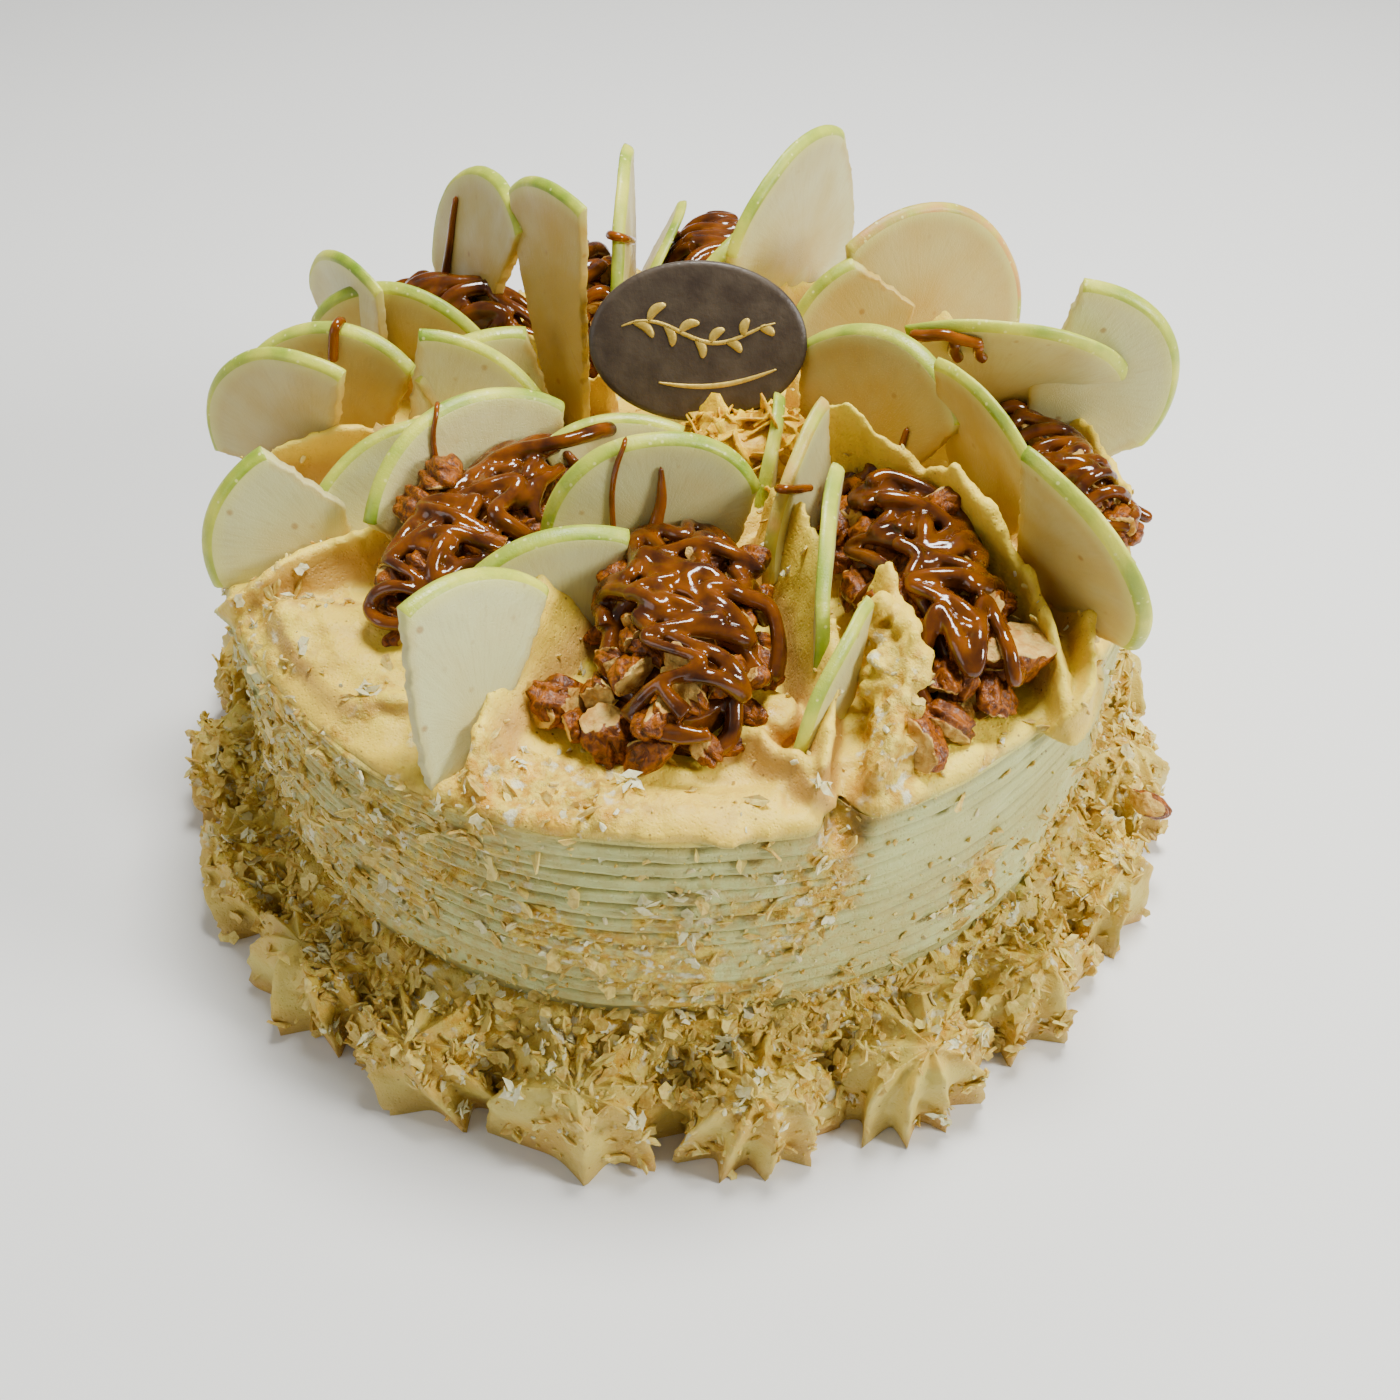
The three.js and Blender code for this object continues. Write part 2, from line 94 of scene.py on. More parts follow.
def gridFaces(rows, columns, start=0, wrap=True):
    last = columns if wrap else columns - 1
    r, c = np.meshgrid(np.arange(rows - 1), np.arange(last), indexing="ij")
    here, after, nextColumn = r * columns, (r + 1) * columns, (c + 1) % columns
    quad = np.stack([here + c, here + nextColumn, after + nextColumn, after + c], -1)
    return (quad.reshape(-1, 4) + start).tolist()


def joined(parts):  # several (points, faces) as one
    points, faces, start = [], [], 0
    for somePoints, someFaces in parts:
        points.append(np.asarray(somePoints, float))
        faces += [[corner + start for corner in face] for face in someFaces]
        start += len(somePoints)
    return np.concatenate(points), faces


def shadeSmooth(mesh, smooth=True):
    mesh.polygons.foreach_set("use_smooth", [smooth] * len(mesh.polygons))


def meshOf(name, points, faces):
    mesh = bpy.data.meshes.new(name)
    mesh.from_pydata((np.asarray(points, float).reshape(-1, 3) * metresPerMm).tolist(), [], faces)
    shadeSmooth(mesh)
    mesh.update()
    return mesh


def vertexValues(mesh, label):
    flat = np.empty(len(mesh.vertices) * 3)
    mesh.vertices.foreach_get(label, flat)
    return flat.reshape(-1, 3)


def pointsOf(mesh):  # in millimetres
    return vertexValues(mesh, "co") / metresPerMm


def movePoints(mesh, points):
    mesh.vertices.foreach_set("co", (points * metresPerMm).ravel())
    mesh.update()


def setValues(mesh, **values):  # from 0 to 1 for each vertex, which the materials read
    for label, value in values.items():
        layer = mesh.attributes.new(label, "FLOAT", "POINT")
        layer.data.foreach_set("value", np.broadcast_to(held(value), len(mesh.vertices)).astype(np.float32))


def outwardFaces(mesh, closeSeams=False):
    work = bmesh.new()
    work.from_mesh(mesh)
    if closeSeams:
        bmesh.ops.remove_doubles(work, verts=work.verts, dist=1e-6)
    bmesh.ops.recalc_face_normals(work, faces=work.faces)
    work.to_mesh(mesh)
    work.free()


def inScene(name, data):
    made = bpy.data.objects.new(name, data)
    bpy.context.scene.collection.objects.link(made)
    return made


def evaluated(mesh, addModifiers):  # the mesh after some modifiers
    holder = inScene("holder", mesh)
    addModifiers(holder)
    graph = bpy.context.evaluated_depsgraph_get()
    result = bpy.data.meshes.new_from_object(holder.evaluated_get(graph), depsgraph=graph)
    bpy.data.objects.remove(holder)
    return result


def melted(solids, voxel, strength):  # solids that cross become one skin
    parts = []
    for points, faces in solids:
        mesh = meshOf("part", points, faces)
        outwardFaces(mesh)
        parts.append((points, [list(face.vertices) for face in mesh.polygons]))

    def addMelt(holder):
        remesh = holder.modifiers.new("melt", "REMESH")
        remesh.mode = "VOXEL"
        remesh.voxel_size = voxel * metresPerMm
        remesh.use_smooth_shade = True
        smooth = holder.modifiers.new("soften", "SMOOTH")
        smooth.iterations = 2
        smooth.factor = strength
    return evaluated(meshOf("whole", *joined(parts)), addMelt)


def ballPoints(divisions):
    work = bmesh.new()
    bmesh.ops.create_icosphere(work, subdivisions=divisions, radius=1)
    points = np.array([v.co[:] for v in work.verts])
    faces = [[v.index for v in f.verts] for f in work.faces]
    work.free()
    return points, faces


def tumbled(draw, lean):  # turned any way round, and leaning up to that far
    spin = Matrix.Rotation(draw.uniform(0, rotateFull), 3, "Z")
    for axis in "XY":
        spin = spin @ Matrix.Rotation(draw.uniform(-lean, lean), 3, axis)
    return np.array(spin)


def addPiece(name, mesh, material, slotName, *nodes):
    mesh.name = name
    mesh.materials.clear()
    mesh.materials.append(material)
    piece = inScene(name, mesh)
    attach(piece, "root")
    if nodes:
        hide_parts(*nodes)


# Material helpers
def colour(red, green, blue):  # from screen values out of 255
    return tuple((v / 255) ** 2.2 for v in (red, green, blue)) + (1,)


def feed(tree, sockets, values):  # each socket gets a value, or a link from another node
    for key, value in values.items():
        if isinstance(value, bpy.types.NodeSocket):
            tree.links.new(value, sockets[key])
        else:
            sockets[key].default_value = value


def node(tree, kind, inputs=None, **settings):
    made = tree.nodes.new(kind)
    for key, value in settings.items():
        setattr(made, key, value)
    feed(tree, made.inputs, inputs or {})
    return made


def maths(tree, operation, first, second, clamp=False):
    inputs = {0: first, 1: second}
    return node(tree, "ShaderNodeMath", inputs, operation=operation, use_clamp=clamp).outputs[0]


def times(tree, first, second, clamp=False):
    return maths(tree, "MULTIPLY", first, second, clamp)


def plus(tree, first, second, clamp=False):
    return maths(tree, "ADD", first, second, clamp)


def mixed(tree, share, first, second):
    return node(tree, "ShaderNodeMix", {0: share, 6: first, 7: second}, data_type="RGBA").outputs[2]


def ranged(tree, value, low, high, to=(0, 1)):
    inputs = {0: value, 1: low, 2: high, 3: to[0], 4: to[1]}
    return node(tree, "ShaderNodeMapRange", inputs, interpolation_type="SMOOTHSTEP").outputs[0]


def attribute(tree, label):
    return node(tree, "ShaderNodeAttribute", attribute_name=label).outputs["Fac"]


def noiseOn(tree, vector, scale, detail=3, rough=0.55, twist=0.0):
    inputs = {"Vector": vector, "Scale": scale, "Detail": detail, "Roughness": rough, "Distortion": twist}
    return node(tree, "ShaderNodeTexNoise", inputs).outputs["Fac"]


def fromDots(tree, vector, scale):  # how far it is to the nearest of some scattered dots
    return node(tree, "ShaderNodeTexVoronoi", {"Vector": vector, "Scale": scale}).outputs["Distance"]


def startMaterial(name):
    material = bpy.data.materials.new(name)
    material.use_nodes = True
    tree = material.node_tree
    return material, tree, node(tree, "ShaderNodeTexCoord").outputs["Object"]


def finished(tree, bumps, distance, values):  # the shader's own inputs, and fine bumps on it
    shader = tree.nodes["Principled BSDF"]
    feed(tree, shader.inputs, values)
    bump = node(tree, "ShaderNodeBump", {"Height": bumps, "Strength": 1.0, "Distance": distance * metresPerMm})
    tree.links.new(bump.outputs["Normal"], shader.inputs["Normal"])


def newGroup(name, sizes, result):  # a group with a place, named sizes and one result
    tree = bpy.data.node_groups.new(name, "ShaderNodeTree")
    tree.interface.new_socket("Place", in_out="INPUT", socket_type="NodeSocketVector")
    for label, value in sizes.items():
        socket = tree.interface.new_socket(label, in_out="INPUT", socket_type="NodeSocketFloat")
        socket.default_value = value
    tree.interface.new_socket(result, in_out="OUTPUT", socket_type="NodeSocketFloat")
    return tree, tree.nodes.new("NodeGroupInput").outputs, tree.nodes.new("NodeGroupOutput").inputs


# Shared effects: mottling (a soft uneven mask) and airy grain (tiny pores and streaks as a height).
def mottlingGroup():
    tree, given, out = newGroup("mottling", {"Patch Size": 8.0, "Contrast": 0.25}, "Mask")
    scale = maths(tree, "DIVIDE", 1 / metresPerMm, given["Patch Size"])
    noise = node(tree, "ShaderNodeTexNoise", {"Vector": given["Place"], "Scale": scale, "Detail": 4.0})
    low = maths(tree, "SUBTRACT", 0.5, given["Contrast"])
    high = plus(tree, 0.5, given["Contrast"])
    tree.links.new(ranged(tree, noise.outputs["Fac"], low, high), out["Mask"])
    return tree


def grainGroup():
    tree, given, out = newGroup("airyGrain", {"Pore Size": 0.8, "Streaks": 0.5}, "Height")
    scale = maths(tree, "DIVIDE", 1 / metresPerMm, given["Pore Size"])
    pits = ranged(tree, fromDots(tree, given["Place"], scale), 0.05, 0.4)
    fine = node(tree, "ShaderNodeTexNoise", {"Vector": given["Place"], "Scale": scale, "Detail": 3.0})
    stretched = node(tree, "ShaderNodeVectorMath", {0: given["Place"], 1: (60, 60, 900)}, operation="MULTIPLY")
    streaks = noiseOn(tree, stretched.outputs[0], 1.0, 2)
    height = plus(tree, times(tree, pits, 0.35), times(tree, fine.outputs["Fac"], 0.7))
    tree.links.new(plus(tree, height, times(tree, streaks, given["Streaks"])), out["Height"])
    return tree


mottling = mottlingGroup()
airyGrain = grainGroup()


def mottled(tree, place, size, contrast=0.25):
    inputs = {"Place": place, "Patch Size": size, "Contrast": contrast}
    return node(tree, "ShaderNodeGroup", inputs, node_tree=mottling).outputs["Mask"]


def grained(tree, place, pore, streaks):
    inputs = {"Place": place, "Pore Size": pore, "Streaks": streaks}
    return node(tree, "ShaderNodeGroup", inputs, node_tree=airyGrain).outputs["Height"]


# Materials
# The side colours are this cream in painted shade, and the top colours are the same cream in painted light.
# The darkest side and top colours are painted shade for steep faces, grooves and the border.
creamLook = {
    "sidePale": colour(200, 208, 136), "sideWarm": colour(182, 172, 98), "sideShade": colour(112, 98, 42),
    "topPale": colour(250, 226, 72), "topWarm": colour(236, 196, 62), "topShade": colour(194, 150, 74),
    "dust": colour(182, 138, 44), "amber": colour(204, 138, 0), "speck": colour(100, 64, 16),
    "crustGold": colour(202, 150, 24), "crustPale": colour(234, 208, 84), "crustWhite": colour(234, 228, 186),
    "roughness": 0.55, "stainRoughness": 0.22,
}


def creamMaterial(name, streaks):
    material, tree, place = startMaterial(name)
    # upper moves the colour from the side's painted shade to the top's painted light.
    shift, upper = mottled(tree, place, 26, 0.3), attribute(tree, "upper")
    low = mixed(tree, shift, creamLook["sidePale"], creamLook["sideWarm"])
    high = mixed(tree, shift, creamLook["topPale"], creamLook["topWarm"])
    # The deep colour is painted shade, laid on where the painted shade value is high.
    deep = mixed(tree, upper, creamLook["sideShade"], creamLook["topShade"])
    body = mixed(tree, attribute(tree, "hollow"), mixed(tree, upper, low, high), deep)
    specks = ranged(tree, fromDots(tree, place, 260.0), 0.1, 0.04, (0, 0.75))
    body = mixed(tree, specks, body, creamLook["speck"])
    dusty = times(tree, mottled(tree, place, 2.2, 0.12), attribute(tree, "crumbs"))
    body = mixed(tree, times(tree, dusty, 0.8, True), body, creamLook["dust"])
    crust = times(tree, mottled(tree, place, 3.4, 0.3), attribute(tree, "crust"), True)
    lumps = mixed(tree, mottled(tree, place, 2.6, 0.15), creamLook["crustGold"], creamLook["crustPale"])
    whiter = ranged(tree, mottled(tree, place, 4.1, 0.2), 0.7, 0.95)
    lumps = mixed(tree, whiter, lumps, creamLook["crustWhite"])
    body = mixed(tree, ranged(tree, crust, 0.15, 0.5, (0, 0.9)), body, lumps)
    amber = times(tree, mottled(tree, place, 5, 0.2), attribute(tree, "amber"), True)
    rough = times(tree, noiseOn(tree, place, 900.0, 4, 0.7), times(tree, crust, 5.0))
    finished(tree, plus(tree, grained(tree, place, 0.9, streaks), rough), 0.3, {
        "Base Color": mixed(tree, amber, body, creamLook["amber"]),
        "Roughness": ranged(tree, amber, 0.1, 0.7, (creamLook["roughness"], creamLook["stainRoughness"])),
        "Subsurface Weight": 0.2, "Subsurface Radius": (1.0, 0.75, 0.4), "Subsurface Scale": 0.003,
    })
    return material


appleLook = {
    "flesh": colour(206, 206, 146), "fleshWarm": colour(188, 156, 70), "fibre": colour(170, 152, 90),
    "underSkin": colour(214, 214, 122), "lime": colour(216, 216, 76), "green": colour(112, 146, 22),
    "blush": colour(220, 136, 84), "spot": colour(228, 228, 140), "bruise": colour(150, 98, 30),
}


def appleMaterial():
    material, tree, place = startMaterial("appleFlesh")
    tone, rind, blush = (attribute(tree, label) for label in ("tone", "rind", "blush"))
    local = node(tree, "ShaderNodeUVMap", uv_map="face").outputs["UV"]
    split = node(tree, "ShaderNodeSeparateXYZ", {0: local})
    angle = maths(tree, "ARCTAN2", split.outputs[1], split.outputs[0])
    reach = node(tree, "ShaderNodeVectorMath", {0: local}, operation="LENGTH").outputs["Value"]
    polar = node(tree, "ShaderNodeCombineXYZ", {0: times(tree, angle, 16), 1: times(tree, reach, 3)})
    fibres = noiseOn(tree, polar.outputs[0], 1.6, 4)  # they run out from the core
    cloud = mottled(tree, place, 11, 0.3)
    warmth = plus(tree, tone, times(tree, maths(tree, "SUBTRACT", cloud, 0.5), 0.35), True)
    flesh = mixed(tree, warmth, appleLook["flesh"], appleLook["fleshWarm"])
    flesh = mixed(tree, ranged(tree, fibres, 0.45, 0.75, (0, 0.22)), flesh, appleLook["fibre"])
    nearSkin = ranged(tree, attribute(tree, "nearSkin"), 0.2, 1, (0, 0.6))
    flesh = mixed(tree, nearSkin, flesh, appleLook["underSkin"])
    bruises = ranged(tree, fromDots(tree, place, 150.0), 0.16, 0.06)
    bruised = times(tree, bruises, times(tree, mottled(tree, place, 8, 0.12), 0.6))
    flesh = mixed(tree, bruised, flesh, appleLook["bruise"])
    skin = mixed(tree, mottled(tree, place, 13, 0.28), appleLook["lime"], appleLook["green"])
    skin = mixed(tree, times(tree, blush, mottled(tree, place, 7, 0.35)), skin, appleLook["blush"])
    skin = mixed(tree, ranged(tree, fromDots(tree, place, 420.0), 0.2, 0.1, (0, 0.7)), skin, appleLook["spot"])
    edge = ranged(tree, plus(tree, rind, times(tree, fibres, 0.12)), 0.42, 0.62)
    finished(tree, plus(tree, fibres, grained(tree, place, 0.5, 0)), 0.1, {
        "Base Color": mixed(tree, edge, flesh, skin), "Roughness": ranged(tree, cloud, 0, 1, (0.34, 0.5)),
        "Subsurface Weight": 0.35, "Subsurface Radius": (0.9, 0.8, 0.45), "Subsurface Scale": 0.004,
    })
    return material


caramelLook = {"deep": colour(62, 30, 0), "light": colour(130, 71, 0), "roughness": (0.13, 0.16)}


def caramelMaterial(name, lift):
    material, tree, place = startMaterial(name)
    clear = plus(tree, mottled(tree, place, 6, 0.3), lift, True)
    facing = node(tree, "ShaderNodeLayerWeight", {"Blend": 0.35}).outputs["Facing"]
    finished(tree, noiseOn(tree, place, 420.0, 2), 0.12, {
        "Base Color": mixed(tree, clear, caramelLook["deep"], caramelLook["light"]),
        "Roughness": ranged(tree, facing, 0, 1, caramelLook["roughness"]), "Specular IOR Level": 0.38,
        "Subsurface Weight": 0.3, "Subsurface Radius": (1.0, 0.5, 0.08), "Subsurface Scale": 0.003,
        "Coat Weight": 0.25, "Coat Roughness": 0.08,
    })
    return material


nutLook = {
    "skin": colour(156, 86, 10), "skinDark": colour(84, 42, 4),
    "flesh": colour(224, 190, 104), "fleshDark": colour(184, 128, 48),
}


def nutMaterial():
    material, tree, place = startMaterial("pecanNut")
    wrinkles = noiseOn(tree, place, 520.0, 4, 0.6, 1.2)
    skin = mixed(tree, ranged(tree, wrinkles, 0.35, 0.65), nutLook["skinDark"], nutLook["skin"])
    inside = mixed(tree, mottled(tree, place, 2.5, 0.25), nutLook["fleshDark"], nutLook["flesh"])
    edge = ranged(tree, plus(tree, attribute(tree, "flesh"), times(tree, wrinkles, 0.4)), 0.55, 0.85)
    finished(tree, wrinkles, 0.6, {
        "Base Color": mixed(tree, edge, skin, inside), "Roughness": ranged(tree, edge, 0, 1, (0.32, 0.6)),
        "Specular IOR Level": 0.35, "Subsurface Weight": 0.1, "Subsurface Scale": 0.001,
    })
    return material


crumbLook = {
    "goldenCrumb": (colour(226, 204, 108), colour(182, 144, 54), 0.5),
    "whiteCrumb": (colour(228, 223, 176), colour(204, 190, 124), 0.65),
    "waferCrumb": (colour(240, 198, 14), colour(198, 146, 0), 0.45),
}


def crumbMaterial(name):
    light, dark, roughness = crumbLook[name]
    material, tree, place = startMaterial(name)
    uneven = maths(tree, "SUBTRACT", mottled(tree, place, 1.6, 0.3), 0.5)
    shade = plus(tree, attribute(tree, "shade"), uneven, True)
    finished(tree, noiseOn(tree, place, 1500.0, 3), 0.25, {
        "Base Color": mixed(tree, shade, light, dark),
        "Roughness": ranged(tree, shade, 0, 1, (roughness, roughness + 0.15)),
        "Subsurface Weight": 0.15, "Subsurface Scale": 0.001,
    })
    return material


plaqueLook = {"dark": colour(58, 47, 38), "bloom": colour(78, 66, 51), "roughness": (0.38, 0.52)}
goldLook = {"deep": colour(190, 156, 58), "rubbed": colour(214, 184, 92), "roughness": (0.3, 0.45)}


def chocolateMaterial():
    material, tree, place = startMaterial("darkChocolate")
    bloom = mottled(tree, place, 5, 0.35)
    finished(tree, noiseOn(tree, place, 900.0, 3), 0.12, {
        "Base Color": mixed(tree, bloom, plaqueLook["dark"], plaqueLook["bloom"]),
        "Roughness": ranged(tree, bloom, 0, 1, plaqueLook["roughness"]),
    })
    return material


def goldMaterial():
    material, tree, place = startMaterial("goldPaint")
    rubbed = mottled(tree, place, 1.2, 0.3)
    finished(tree, noiseOn(tree, place, 1400.0, 2), 0.05, {
        "Base Color": mixed(tree, rubbed, goldLook["deep"], goldLook["rubbed"]),
        "Roughness": ranged(tree, rubbed, 0, 1, goldLook["roughness"]), "Metallic": 0.35,
    })
    return material


sideCream, topCream = creamMaterial("combedCream", 1.4), creamMaterial("spreadCream", 0.4)
apple = appleMaterial()
caramel, thinCaramel = caramelMaterial("caramel", -0.1), caramelMaterial("thinCaramel", 0.35)
nut = nutMaterial()
goldenCrumb, whiteCrumb, waferCrumb = (crumbMaterial(name) for name in crumbLook)
chocolate, gold = chocolateMaterial(), goldMaterial()
print("materials made")

# Cream on the side
cake = {
    "radius": 106.6, "height": 86, "footRadius": 105.4, "combFrom": 31, "combTo": 83,
    "ridges": 12, "ridgeDepth": 1.2, "moundRadius": 30, "moundHeight": 14,
}
sideMesh = {"columns": 600, "rowsPerRidge": 9, "fineLines": 0.2}
notch = {"angle": -72.2, "width": 3.6, "depth": 9, "mmPerDegree": 1.86}
# From the comb over the rim to the middle: radius, height and how far the comb marks it.
rimOutline = [
    (106.2, 83.7, 0.3), (105.6, 84.3, 0), (104.2, 84.6, 0), (100, 84.5, 0), (95, 84.3, 0),
    (60, 84, 0), (0, 84, 0),
]


def crumbsOnSide(turn, z):  # how thickly crumbs cover the side, 0 to 1
    around, below = np.degrees(turn), cake["height"] - z
    spots = np.stack([around * 1.9, z, np.zeros_like(z)], -1)
    patches = smoothStep(-0.1, 0.55, softNoise(spots, 17, 4) + 0.5 * softNoise(spots, 7, 5))
    low = smoothStep(78, 36, z)
    cleaner = bell(around, -42, 22) * smoothStep(50, 66, z)
    streak = bell(around + below * 0.14, notch["angle"], 2.0 + below * 0.07) * smoothStep(38, 55, z)
    dense = 0.5 * bell(around, -142, 34)
    cover = (0.12 + 0.42 * patches + 0.5 * low * (0.4 + patches) + dense) * (1 - 0.85 * cleaner)
    return held(cover + 0.9 * streak)


def sideSwell(turn, z=84):  # the side isn't quite round, and the rim follows it
    return 1 + 0.004 * np.sin(3 * turn + 1) + 0.003 * np.sin(8 * turn + z * 0.06)


def notchShare(turn):  # where the rim is pushed in, 1 in the middle of the notch
    return bell(np.degrees(turn) * notch["mmPerDegree"], notch["angle"] * notch["mmPerDegree"], notch["width"])


def sideProfile():  # rows of radius, height and how far the comb marks them, from the foot up
    perRidge, foot = sideMesh["rowsPerRidge"], cake["footRadius"]
    rows = [(0, 0, 0), (foot, 0, 0), (foot, 15, 0), (foot, 28, 0)]
    pitch = (cake["combTo"] - cake["combFrom"]) / cake["ridges"]
    for k in range(cake["ridges"] * perRidge + 1):
        share = (k / perRidge) % 1
        swell = math.sin(math.pi * share ** 0.8) ** 0.7 if share > 0 else 0
        fine = sideMesh["fineLines"] * math.sin(share * rotateFull * 3) * swell
        reach = cake["radius"] - cake["ridgeDepth"] * (1 - swell) + fine
        rows.append((reach, cake["combFrom"] + k * pitch / perRidge, 1))
    return np.array(rows + rimOutline)


def combedSide():
    profile = sideProfile()
    turn = evenTurns(sideMesh["columns"]) - math.pi
    r, z, comb = (np.repeat(profile[:, k:k + 1], len(turn), 1) for k in range(3))
    t = np.repeat(turn[None], len(profile), 0)
    flat = roundPlace(106, t, z)
    smear = softNoise(flat * (1, 1, 2.2), 20, 1)
    ripple = softNoise(flat * (0.5, 0.5, 3), 6, 2)
    lumps = softNoise(flat, 5, 3)
    outer = smoothStep(96, 101, r)
    grooves = (r - cake["radius"]) * comb
    fade = smoothStep(0.05, 0.6, softNoise(flat * (1, 1, 2.6), 30, 8))
    r = r + grooves * (0.3 - 0.85 * fade + 0.3 * smear) + outer * (0.16 * ripple + 0.26 * lumps + 0.35 * smear)
    r = np.where(z > 29, r * sideSwell(t, z), r)
    z = z + np.where(z > 30, 0.7 * np.sin(2 * t + 0.6) * np.where(z < cake["combTo"], 1, 0.4), 0)
    z = z + comb * 0.7 * softNoise(flat * (1, 1, 0.3), 26, 6)
    pushed = notchShare(t) * smoothStep(74, 83, z) * smoothStep(90, 98, r)
    r = r - notch["depth"] * pushed
    z = z - 3.5 * pushed * (z > 84)
    mesh = meshOf("combedSide", roundPlace(r, t, z), gridFaces(len(profile), len(turn)))
    outwardFaces(mesh, True)
    p = pointsOf(mesh)
    x, y, z = p.T
    r, t = np.hypot(x, y), np.arctan2(y, x)
    cover = crumbsOnSide(t, z)
    # Painted shade: the comb's grooves, the notch and, a little, the crumb patches are darkened in colour.
    # Near the rim, upper gives the side the top's painted light.
    depth = smoothStep(106.3, 105.0, r / sideSwell(t, z))
    torn = bell(np.degrees(t), notch["angle"], 2.4)
    setValues(
        mesh, crumbs=cover * smoothStep(99, 102, r) * smoothStep(25, 30, z), crust=cover * 1.1 - 0.35,
        hollow=0.62 * depth * (z < 83) + 0.12 * cover + torn * smoothStep(70, 84, z),
        amber=0.6 * torn * smoothStep(46, 80, z),
        upper=0.9 * smoothStep(81.5, 86.5, z + 1.2 * softNoise(p, 9, 9)))
    return mesh


sideSkin = combedSide()
addPiece("combed_side", sideSkin, sideCream, "cream", "iced_cake")
print("side made", len(sideSkin.polygons))

# Cream petals and the top
# Each petal has its ends in plan, its bow to the left, heights at both ends, foot width and lean.
petals = [
    ((-6, -30), (-38, -97), -6, 20, 5, 18, -0.25), ((17, -24), (26, -95), 5, 20, 8, 16, 0.2),
    ((38, -52), (37, -95), 6, 22, 6, 16, 0.1), ((32, -6), (79, -76), 13, 31, 4, 16, -0.15),
    ((76, -30), (77, -78), 8, 13, 5, 14, 0.2), ((42, 14), (92, -36), 8, 18, 6, 15, 0.1),
    ((62, 38), (103, -14), 12, 13, 9, 15, 0.1), ((28, 32), (82, 56), 8, 20, 12, 16, 0.15),
    ((10, 34), (42, 90), 8, 18, 8, 15, 0.1), ((-4, 36), (-12, 96), 6, 16, 8, 15, 0),
    ((-16, 26), (-60, 84), 6, 18, 8, 15, 0.15), ((-30, 22), (-92, 50), -4, 14, 8, 15, 0.2),
    ((-34, 8), (-103, 2), -6, 15, 12, 20, 0.2), ((-30, -16), (-98, -44), -8, 13, 6, 26, 0.3),
    ((10, -84), (27, -98), 3, 7, 6, 18, 0),
]
petalMesh = {"steps": 110, "rows": 20, "foot": 3, "crest": 2.0, "voxel": 0.95, "cutAt": 83.6}
strokes = {"width": 8.0, "height": 1.9, "sharpness": 2.4}
topMesh = {"rings": 122, "levelRadius": 98, "columns": 520, "lift": 0.3, "underside": 80, "notchDrop": 6}
# Where the top rolls over the rim: radius and lift.
rimRoll = [
    (99, 0), (100.5, 0.1), (102, 0.3), (103.3, 0.4), (104.4, 0.1), (105.2, -0.6), (105.7, -1.5), (105.8, -2.6),
]
# Stepped knife marks on the front left: where each step is, and how high.
terraces = [(-57, 1.4), (-66, 0.9), (-76.5, 2.8), (-81, 1.0), (-90, 1.2)]
# A torn sheet that laps over the rim in front, from its root over and back: y and z.
lipOutline = [
    (-93, 86), (-97, 88.2), (-101, 88.8), (-105, 88), (-107.5, 86.2), (-107.2, 84.9), (-104, 85.4),
    (-97, 85), (-93, 84.5),
]
# Lumps of broken cream: where, and half their size.
creamLumps = [((14, -72, 90), (4.5, 5, 4)), ((9, -81, 88.5), (6, 7, 3)), ((20, -78, 90), (4, 6, 4))]
brokenCream = {
    "from": (40, -57, 104), "to": (40, -91, 88.5), "bow": 3.0, "count": 95,
    "spread": (4.4, 2.5, 5.5), "size": (1.8, 3.8),
}


def petalSolid(petal, seed):
    start, end, bow, highFrom, highTo, wide, lean = petal
    a, b = np.array(start, float), np.array(end, float)
    left = np.array([a[1] - b[1], b[0] - a[0]]) / np.hypot(*(b - a))
    middle = (a + b) / 2 + left * 2 * bow
    t = np.linspace(0, 1, petalMesh["steps"] + 1)[:, None]
    spot = (1 - t) ** 2 * a + 2 * t * (1 - t) * middle + t * t * b
    heading = 2 * (1 - t) * (middle - a) + 2 * t * (b - middle)
    heading /= np.linalg.norm(heading, axis=1, keepdims=True)
    up = np.linspace(0, 1, petalMesh["rows"] + 1)
    loopUp = np.concatenate([up, up[::-1]])
    side = np.concatenate([-np.ones_like(up), np.ones_like(up)])
    along = np.repeat(t, len(loopUp), 1)
    u, s = np.meshgrid(loopUp, t[:, 0])[0], np.repeat(side[None], len(t), 0)
    thinEnds = 0.35 + 0.65 * np.sqrt(np.sin(math.pi * (0.04 + 0.92 * along)))
    edge = np.stack([along * 90, np.full_like(along, seed * 37.0), np.zeros_like(along)], -1)
    ragged = (0.1 * softNoise(edge, 7, 11) + 0.08 * softNoise(edge, 2.2, 12)) * u ** 2
    wave = softNoise(edge, 16, 13)
    rise = (highFrom + (highTo - highFrom) * along ** 2.4) * (1 + 0.1 * np.sin(along * 15 + start[0]) + ragged)
    wall = (wide + (petalMesh["crest"] - wide) * u ** 0.6) * thinEnds
    aside = s * 0.5 * wall + lean * rise * u * u + 1.8 * wave * u
    x = spot[:, :1] - heading[:, 1:] * aside
    y = spot[:, 1:] + heading[:, :1] * aside
    z = cake["height"] - petalMesh["foot"] + u * (petalMesh["foot"] + rise)
    ring = len(loopUp)
    faces = gridFaces(len(t), ring)
    faces.append(list(range(ring)))
    faces.append([len(t) * ring - 1 - k for k in range(ring)])
    return np.stack([x, y, z], -1).reshape(-1, 3), faces


def terraceRise(points):
    x = points[..., 0]
    y = points[..., 1] + 2.0 * softNoise(points, 26, 25) + 0.5 * softNoise(points, 7, 26) + 0.07 * (x + 55)
    rise = sum(step * smoothStep(edge - 1.0, edge + 0.4, y) for edge, step in terraces)
    return rise * smoothStep(-25, -33, x) * smoothStep(-98, -84, x) * smoothStep(-40, -52, y)


